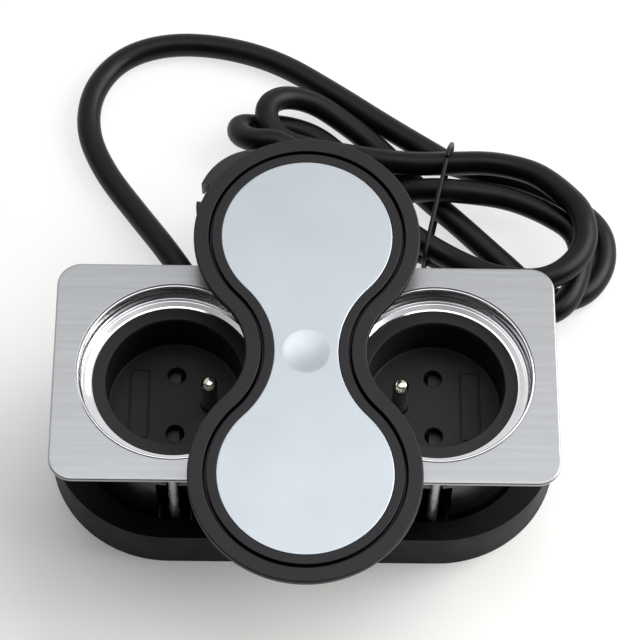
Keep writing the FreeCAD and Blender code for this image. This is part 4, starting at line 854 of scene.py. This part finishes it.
# Glass-filled nylon: the fibres roughen it, so it is the dullest of the large pieces.
frame_plastic = plastic(
    "clamp_frame_glass_filled_nylon", "080709", 0.50, grain_mm=0.5, depth_mm=0.02, gloss=0.15)
# Polycarbonate from a polished mould: clear window reflections that waver a little.
housing_plastic = plastic(
    "housing_moulded_polycarbonate", "0b0a0c", 0.22, grain_mm=1.2, depth_mm=0.006)
# Soft PVC moulded round the cable: satin, a little greyer than the cable.
plug_plastic = plastic("plug_moulded_pvc", "111012", 0.42, grain_mm=0.4, depth_mm=0.015)
# Plain nylon of the inner pieces, which only shows when the part is opened.
inner_plastic = plastic("inner_moulded_nylon", "18181a", 0.45)
# Rubber: no mirror at all, only a broad soft light.
rubber = plastic("seal_moulded_rubber", "0e0e0f", 0.68, grain_mm=0.25, depth_mm=0.01, gloss=0.25)
print(cover_charcoal.name, "has", len(cover_charcoal.node_tree.nodes), "nodes")

# %% [markdown]
# ### Drawn PVC
#
# A cable's jacket is PVC, drawn hot through a die. It is smooth along its length, with a
# faint orange-peel about a millimetre wide and dull patches where it was handled. The peel
# could be modelled, but it is a hundredth of a millimetre deep, so bump is enough. Two
# bumps are chained: the fine one starts from the normal that the peel leaves. The wires'
# insulation is the same PVC in the colours of the standard.

# %% Jackets and insulation
HANDLED_MM = 14.0
PEEL_MM = 1.1
JACKET_GRAIN_MM = 0.18
JACKET_GRAIN_DEPTH_MM = 0.004
STRIPE_MM = 6.0         # diagonal bands come out a little wider


def jacket(name, hex_colour, roughness):
    """Drawn PVC: handled patches, orange-peel and a fine grain."""
    made, tree, shader, where = new_material(name, roughness)
    handled = add(tree, "ShaderNodeTexNoise", {
        "Vector": where, "Scale": per_mm(HANDLED_MM), "Detail": 3.0, "Roughness": 0.5})
    peel = add(tree, "ShaderNodeTexNoise", {
        "Vector": where, "Scale": per_mm(PEEL_MM), "Detail": 2.0, "Roughness": 0.5})
    fine = add(tree, "ShaderNodeTexNoise", {
        "Vector": where, "Scale": per_mm(JACKET_GRAIN_MM), "Detail": 2.0, "Roughness": 0.5})
    colour = add(tree, "ShaderNodeValToRGB", {"Fac": handled.outputs["Fac"]}, stops=(
        (NOISE_LOW, shade(hex_colour, 0.85)), (NOISE_HIGH, shade(hex_colour, 1.25))))
    dullness = add(tree, "ShaderNodeMapRange", {
        "Value": handled.outputs["Fac"], "From Min": NOISE_LOW, "From Max": NOISE_HIGH,
        "To Min": roughness - 0.07, "To Max": roughness + 0.07})
    skin = add(tree, "ShaderNodeBump", {
        "Height": peel.outputs["Fac"], "Distance": 0.02 * MM, "Strength": 1.0})
    bump = add(tree, "ShaderNodeBump", {
        "Height": fine.outputs["Fac"], "Distance": JACKET_GRAIN_DEPTH_MM * MM, "Strength": 1.0,
        "Normal": skin.outputs["Normal"]})
    feed(tree, shader, {
        "Specular IOR Level": 0.23, "Base Color": colour.outputs["Color"],
        "Roughness": dullness.outputs["Result"], "Normal": bump.outputs["Normal"]})
    return made


def striped_jacket(name):
    """Earth wire: green with a yellow stripe that winds round it."""
    made, tree, shader, where = new_material(name, 0.38)
    bands = add(tree, "ShaderNodeTexWave", {"Vector": where, "Scale": band_scale(STRIPE_MM)},
                bands_direction="DIAGONAL")
    colour = add(tree, "ShaderNodeValToRGB", {"Fac": bands.outputs["Fac"]}, stops=(
        (0.49, srgb("3d8a2c")), (0.51, srgb("d8c92e"))))
    fine = add(tree, "ShaderNodeTexNoise", {
        "Vector": where, "Scale": per_mm(0.2), "Detail": 3.0, "Roughness": 0.5})
    bump = add(tree, "ShaderNodeBump", {
        "Height": fine.outputs["Fac"], "Distance": JACKET_GRAIN_DEPTH_MM * MM, "Strength": 1.0})
    feed(tree, shader, {
        "Base Color": colour.outputs["Color"], "Normal": bump.outputs["Normal"]})
    return made


# Black PVC: a narrow bright line runs along each strand, and breaks up in the handled patches.
cable_jacket = jacket("cable_drawn_pvc", "050405", 0.42)
tie_coat = jacket("tie_coated_wire", "100f10", 0.48)
brown_insulation = jacket("live_wire_drawn_pvc", "5a3518", 0.38)
blue_insulation = jacket("neutral_wire_drawn_pvc", "2455a8", 0.38)
earth_insulation = striped_jacket("earth_wire_drawn_pvc")
print(cable_jacket.name, "has", len(cable_jacket.node_tree.nodes), "nodes")

# %% [markdown]
# ### Metals
#
# The plate is brushed: a belt draws long, thin scratches along X, which spread the
# reflection across them. They are noise drawn out along X. Real scratches are some 0.02 mm
# wide and wouldn't show, so they are drawn 0.11 mm wide. Collars, pins and screws are
# plated, and mirror the room in a tint of their own. Turned pieces keep fine rings, which a
# wave texture gives. The cover's insert is anodised: blasted first, so it has no direction,
# only an even satin. Metals keep the default IOR, and their base colour is their mirror.

# %% Brushed metals
SCRATCH_LONG_MM, SCRATCH_WIDE_MM = 22.0, 0.11
BAND_LONG_MM, BAND_WIDE_MM = 60.0, 1.6


def drawn_out(tree, where, long_mm, wide_mm):
    """Noise stretched along X: long, thin scratches."""
    stretched = add(tree, "ShaderNodeMapping", {
        "Vector": where, "Scale": (per_mm(long_mm), per_mm(wide_mm), per_mm(wide_mm))})
    return add(tree, "ShaderNodeTexNoise", {
        "Vector": stretched.outputs["Vector"], "Scale": 1.0, "Detail": 4.0, "Roughness": 0.6})


def brushed_metal(name, hex_colour, roughness):
    """Brushed sheet: fine scratches in gloss and relief, wider bands in colour."""
    made, tree, shader, where = new_material(name, roughness, metallic=1.0)
    scratches = drawn_out(tree, where, SCRATCH_LONG_MM, SCRATCH_WIDE_MM)
    bands = drawn_out(tree, where, BAND_LONG_MM, BAND_WIDE_MM)
    colour = add(tree, "ShaderNodeValToRGB", {"Fac": bands.outputs["Fac"]}, stops=(
        (NOISE_LOW, shade(hex_colour, 0.93)), (NOISE_HIGH, shade(hex_colour, 1.05))))
    dullness = add(tree, "ShaderNodeMapRange", {
        "Value": scratches.outputs["Fac"], "From Min": NOISE_LOW, "From Max": NOISE_HIGH,
        "To Min": roughness - 0.08, "To Max": roughness + 0.08})
    bump = add(tree, "ShaderNodeBump", {
        "Height": scratches.outputs["Fac"], "Distance": 0.003 * MM, "Strength": 1.0})
    feed(tree, shader, {
        "Base Color": colour.outputs["Color"], "Roughness": dullness.outputs["Result"],
        "Normal": bump.outputs["Normal"]})
    return made


# Stainless steel: mid grey, brighter towards the window, with streaks along its length.
plate_steel = brushed_metal("plate_brushed_stainless", "a3a4a6", 0.34)
# Brass strip as it comes from the roll, stamped to shape.
brass = brushed_metal("contacts_rolled_brass", "c9a558", 0.30)
print(plate_steel.name, "has", len(plate_steel.node_tree.nodes), "nodes")

# %% Plated and turned metals, and the anodised insert
SMUDGE_MM = 7.0
RING_SHARE = 0.05       # a ring's depth, of its pitch
CLOUD_MM = 16.0
BLAST_MM = 0.12         # real blasting is finer, and would only look even


def polished_metal(name, hex_colour, roughness, rings_mm=0.0):
    """Plated or drawn metal: a mirror with faint smudges, and rings where it was turned."""
    made, tree, shader, where = new_material(name, roughness, metallic=1.0)
    smudges = add(tree, "ShaderNodeTexNoise", {
        "Vector": where, "Scale": per_mm(SMUDGE_MM), "Detail": 3.0, "Roughness": 0.5})
    colour = add(tree, "ShaderNodeValToRGB", {"Fac": smudges.outputs["Fac"]}, stops=(
        (NOISE_LOW, shade(hex_colour, 0.95)), (NOISE_HIGH, shade(hex_colour, 1.04))))
    dullness = add(tree, "ShaderNodeMapRange", {
        "Value": smudges.outputs["Fac"], "From Min": NOISE_LOW, "From Max": NOISE_HIGH,
        "To Min": roughness, "To Max": roughness + 0.05})
    feed(tree, shader, {
        "Base Color": colour.outputs["Color"], "Roughness": dullness.outputs["Result"]})
    if rings_mm:
        rings = add(tree, "ShaderNodeTexWave", {
            "Vector": where, "Scale": band_scale(rings_mm)}, bands_direction="Z")
        bump = add(tree, "ShaderNodeBump", {
            "Height": rings.outputs["Fac"], "Distance": rings_mm * RING_SHARE * MM,
            "Strength": 1.0})
        feed(tree, shader, {"Normal": bump.outputs["Normal"]})
    return made


def anodised(name, hex_colour, roughness):
    """Satin anodised aluminium: a blasted, even surface with a faint cloudiness."""
    made, tree, shader, where = new_material(name, roughness, metallic=1.0)
    clouds = add(tree, "ShaderNodeTexNoise", {
        "Vector": where, "Scale": per_mm(CLOUD_MM), "Detail": 3.0, "Roughness": 0.5})
    fine = add(tree, "ShaderNodeTexNoise", {
        "Vector": where, "Scale": per_mm(BLAST_MM), "Detail": 3.0, "Roughness": 0.7})
    colour = add(tree, "ShaderNodeValToRGB", {"Fac": clouds.outputs["Fac"]}, stops=(
        (NOISE_LOW, shade(hex_colour, 0.97)), (NOISE_HIGH, shade(hex_colour, 1.03))))
    dullness = add(tree, "ShaderNodeMapRange", {
        "Value": fine.outputs["Fac"], "From Min": NOISE_LOW, "From Max": NOISE_HIGH,
        "To Min": roughness - 0.04, "To Max": roughness + 0.04})
    bump = add(tree, "ShaderNodeBump", {
        "Height": fine.outputs["Fac"], "Distance": 0.004 * MM, "Strength": 1.0})
    feed(tree, shader, {
        "Base Color": colour.outputs["Color"], "Roughness": dullness.outputs["Result"],
        "Normal": bump.outputs["Normal"]})
    return made


# Chrome plate: the room in sharp bands, white at the back and black towards the viewer.
chrome = polished_metal("collar_polished_chrome", "e2e2e4", 0.12)
# Nickel plate: a warmer mirror, drawn into lines by the turning.
nickel = polished_metal("pin_nickel_plate", "cbc5b8", 0.16, rings_mm=0.25)
# Zinc plate: a greyer, softer mirror. The rings stand for the clamp screws' thread.
zinc_thread = polished_metal("screw_zinc_plate_thread", "c4c6c9", 0.26, rings_mm=0.5)
zinc = polished_metal("screw_zinc_plate", "c0c2c4", 0.26)
# Drawn spring steel and turned steel, inside the block.
spring_wire = polished_metal("spring_drawn_steel", "b5b5b6", 0.20)
turned_steel = polished_metal("pivot_turned_steel", "bdbdbd", 0.20, rings_mm=0.2)
satin_aluminium = anodised("cover_insert_anodised_aluminium", "b2b8bd", 0.42)
print(nickel.name, "has", len(nickel.node_tree.nodes), "nodes")

# %% [markdown]
# ### Which piece has which finish
#
# A piece shows the material in its slots. The pieces made above have one slot or none. The
# CAD nodes that show as they are have theirs already, and get a better material in it. The
# cover's shell and carrier have a second slot, for the sides and floor of the groove, which lie
# in deep shade and get near-black painted shade as well.

# %% Dressing the pieces
def dress(piece, material):
    """Puts the material in all of a piece's slots."""
    if not piece.material_slots:
        piece.data.materials.append(material)
    for slot in piece.material_slots:
        slot.material = material


piece_materials = {
    plate_steel: (plate,),
    chrome: (left_collar, right_collar),
    insert_plastic: (left_insert, right_insert),
    nickel: (earth_pins, plug_pins, plug_clips),
    cover_charcoal: (cover_shell,),
    carrier_charcoal: (cover_carrier,),
    satin_aluminium: (cover_insert,),
    rubber: (seal, gasket),
    cable_jacket: (cable,),
    tie_coat: (tie,),
    plug_plastic: (cord_relief, plug_relief, plug_body),
    frame_plastic: (clamp_frame,),
    housing_plastic: (housing_base, housing_upper),
    zinc_thread: clamp_screws,
}
node_materials = {
    inner_plastic: ("contact_carrier", "cord_clamp_bar", "shutter_left", "shutter_right"),
    rubber: ("sleeve_wiper",),
    cable_jacket: ("cord_inner_end",),
    brown_insulation: ("live_wire",),
    blue_insulation: ("neutral_wire",),
    earth_insulation: ("earth_wire",),
    brass: ("live_busbar", "neutral_busbar", "earth_bar", "terminals"),
    zinc: ("terminal_screws", "clamp_nuts", "cord_clamp_screws", "carrier_screws",
           "housing_screws", "post_screws", "post_clip"),
    spring_wire: ("shutter_spring_left", "shutter_spring_right"),
    turned_steel: ("pivot_post", "pivot_sleeve"),
}
for material, pieces in piece_materials.items():
    for piece in pieces:
        dress(piece, material)
# The second slot holds the groove's painted shade.
for piece in (cover_shell, cover_carrier):
    piece.data.materials.append(groove_painted_shade)
for material, names in node_materials.items():
    for name in names:
        dress(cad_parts[name], material)
shown = [name for name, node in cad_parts.items() if not node.hide_render]
print("CAD nodes shown as they are:", len(shown),
      "dressed:", sum(len(names) for names in node_materials.values()))

# %% [markdown]
# ## Shutter springs
#
# Behind each shutter lies a small coil spring. When a plug pushes the shutter outwards, it
# presses its spring together against a stop in the carrier, from 12.4 to 5.9 mm. A rigid
# spring would run through the stop. Here each spring only gets a mesh of its own.

# %% The springs
for side, way_out in (("left", -1), ("right", 1)):
    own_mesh(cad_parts["shutter_spring_" + side])

# %% [markdown]
# ## Table
#
# The block stands on a white laminate table. A backdrop could close the view behind it, but
# its edge would show in the metals, so the table itself fades into the white studio towards
# the back. The fade is only in the picture and in reflections: it lights nothing, and it
# keeps a lighter shadow.

# %% The table
TABLE_HALF = 3.0                        # metres, as the table's other sizes
FADE_FROM_Y, FADE_TO_Y = -0.02, 0.085
FADE_LEAST, FADE_MOST = 0.14, 0.72
CLOUDING_MM = 60.0

floor_bm = bmesh.new()
bmesh.ops.create_grid(floor_bm, x_segments=8, y_segments=8, size=TABLE_HALF)
floor_mesh = bpy.data.meshes.new("table")
floor_bm.to_mesh(floor_mesh)
floor_bm.free()
floor = bpy.data.objects.new("table", floor_mesh)
bpy.context.scene.collection.objects.link(floor)

table_white, tree, shader, where = new_material("table_white_laminate", 0.55)
clouding = add(tree, "ShaderNodeTexNoise", {
    "Vector": where, "Scale": per_mm(CLOUDING_MM), "Detail": 3.0, "Roughness": 0.5})
colour = add(tree, "ShaderNodeValToRGB", {"Fac": clouding.outputs["Fac"]}, stops=(
    (NOISE_LOW, srgb("efeeec")), (NOISE_HIGH, srgb("f4f3f1"))))
feed(tree, shader, {"Base Color": colour.outputs["Color"]})
depth = add(tree, "ShaderNodeSeparateXYZ", {"Vector": where})
fade = add(tree, "ShaderNodeMapRange", {
    "Value": depth.outputs["Y"], "From Min": FADE_FROM_Y, "From Max": FADE_TO_Y,
    "To Min": FADE_LEAST, "To Max": FADE_MOST})
rays = add(tree, "ShaderNodeLightPath", {})
seen = add(tree, "ShaderNodeMath", {
    0: rays.outputs["Is Camera Ray"], 1: rays.outputs["Is Glossy Ray"]}, operation="MAXIMUM")
share = add(tree, "ShaderNodeMath", {
    0: fade.outputs["Result"], 1: seen.outputs["Value"]}, operation="MULTIPLY")
white = add(tree, "ShaderNodeEmission", {"Color": (1.0, 1.0, 0.995, 1.0), "Strength": 1.0})
table_looks = add(tree, "ShaderNodeMixShader", {
    0: share.outputs["Value"], 1: shader.outputs["BSDF"], 2: white.outputs["Emission"]})
feed(tree, tree.nodes["Material Output"], {"Surface": table_looks.outputs["Shader"]})
dress(floor, table_white)
print("the table fades from y", FADE_FROM_Y, "to", FADE_TO_Y)

# %% [markdown]
# ## Light
#
# Soft daylight comes from a large window at the right and back, so the shade falls to the
# left and the front. A small lamp would draw hard shadows, which the photograph hasn't, so
# both lamps are large areas. A dim one above keeps the metals grey. The room around them is
# bright at the back and to the right and dark on the viewer's side: it hardly lights the
# block, but it is what the chrome mirrors.

# %% Window, ceiling and room
LIGHT_WAY = (0.20, 0.93, 0.30)    # the room grows brighter along this
ROOM_TINT = (0.985, 0.995, 1.0)


def soft_light(name, at, towards, width, height, watts, colour):
    """A large rectangular lamp at a place, in metres, turned towards another."""
    data = bpy.data.lights.new(name, "AREA")
    data.shape = "RECTANGLE"
    data.size = width
    data.size_y = height
    data.energy = watts
    data.color = colour
    lamp = bpy.data.objects.new(name, data)
    lamp.location = at
    lamp.rotation_euler = (Vector(towards) - Vector(at)).to_track_quat("-Z", "Y").to_euler()
    bpy.context.scene.collection.objects.link(lamp)


soft_light("window", at=(1.0, 0.22, 0.85), towards=(0, 0.0, 0.03), width=1.1, height=0.9,
           watts=20.0, colour=(1.0, 0.995, 0.985))
soft_light("ceiling", at=(0.05, 0.22, 1.6), towards=(0, 0.03, 0), width=1.1, height=0.8,
           watts=5.0, colour=(0.98, 0.99, 1.0))

world = bpy.data.worlds.new("room")
bpy.context.scene.world = world
world.use_nodes = True
tree = world.node_tree
heading = add(tree, "ShaderNodeTexCoord", {})
towards_light = add(tree, "ShaderNodeVectorMath", {
    0: heading.outputs["Generated"], 1: LIGHT_WAY}, operation="DOT_PRODUCT")
brightness = add(tree, "ShaderNodeMapRange", {
    "Value": towards_light.outputs["Value"], "From Min": -1.0, "From Max": 1.0,
    "To Min": 0.0, "To Max": 1.0})
room = add(tree, "ShaderNodeValToRGB", {"Fac": brightness.outputs["Result"]}, stops=[
    (stop_at, (*(level * part for part in ROOM_TINT), 1.0)) for stop_at, level in (
        (0.12, 0.015), (0.42, 0.05), (0.52, 0.56), (0.64, 0.78), (0.98, 0.93))])
feed(tree, tree.nodes["Background"], {"Color": room.outputs["Color"], "Strength": 1.0})
bpy.context.scene.view_settings.view_transform = "Standard"
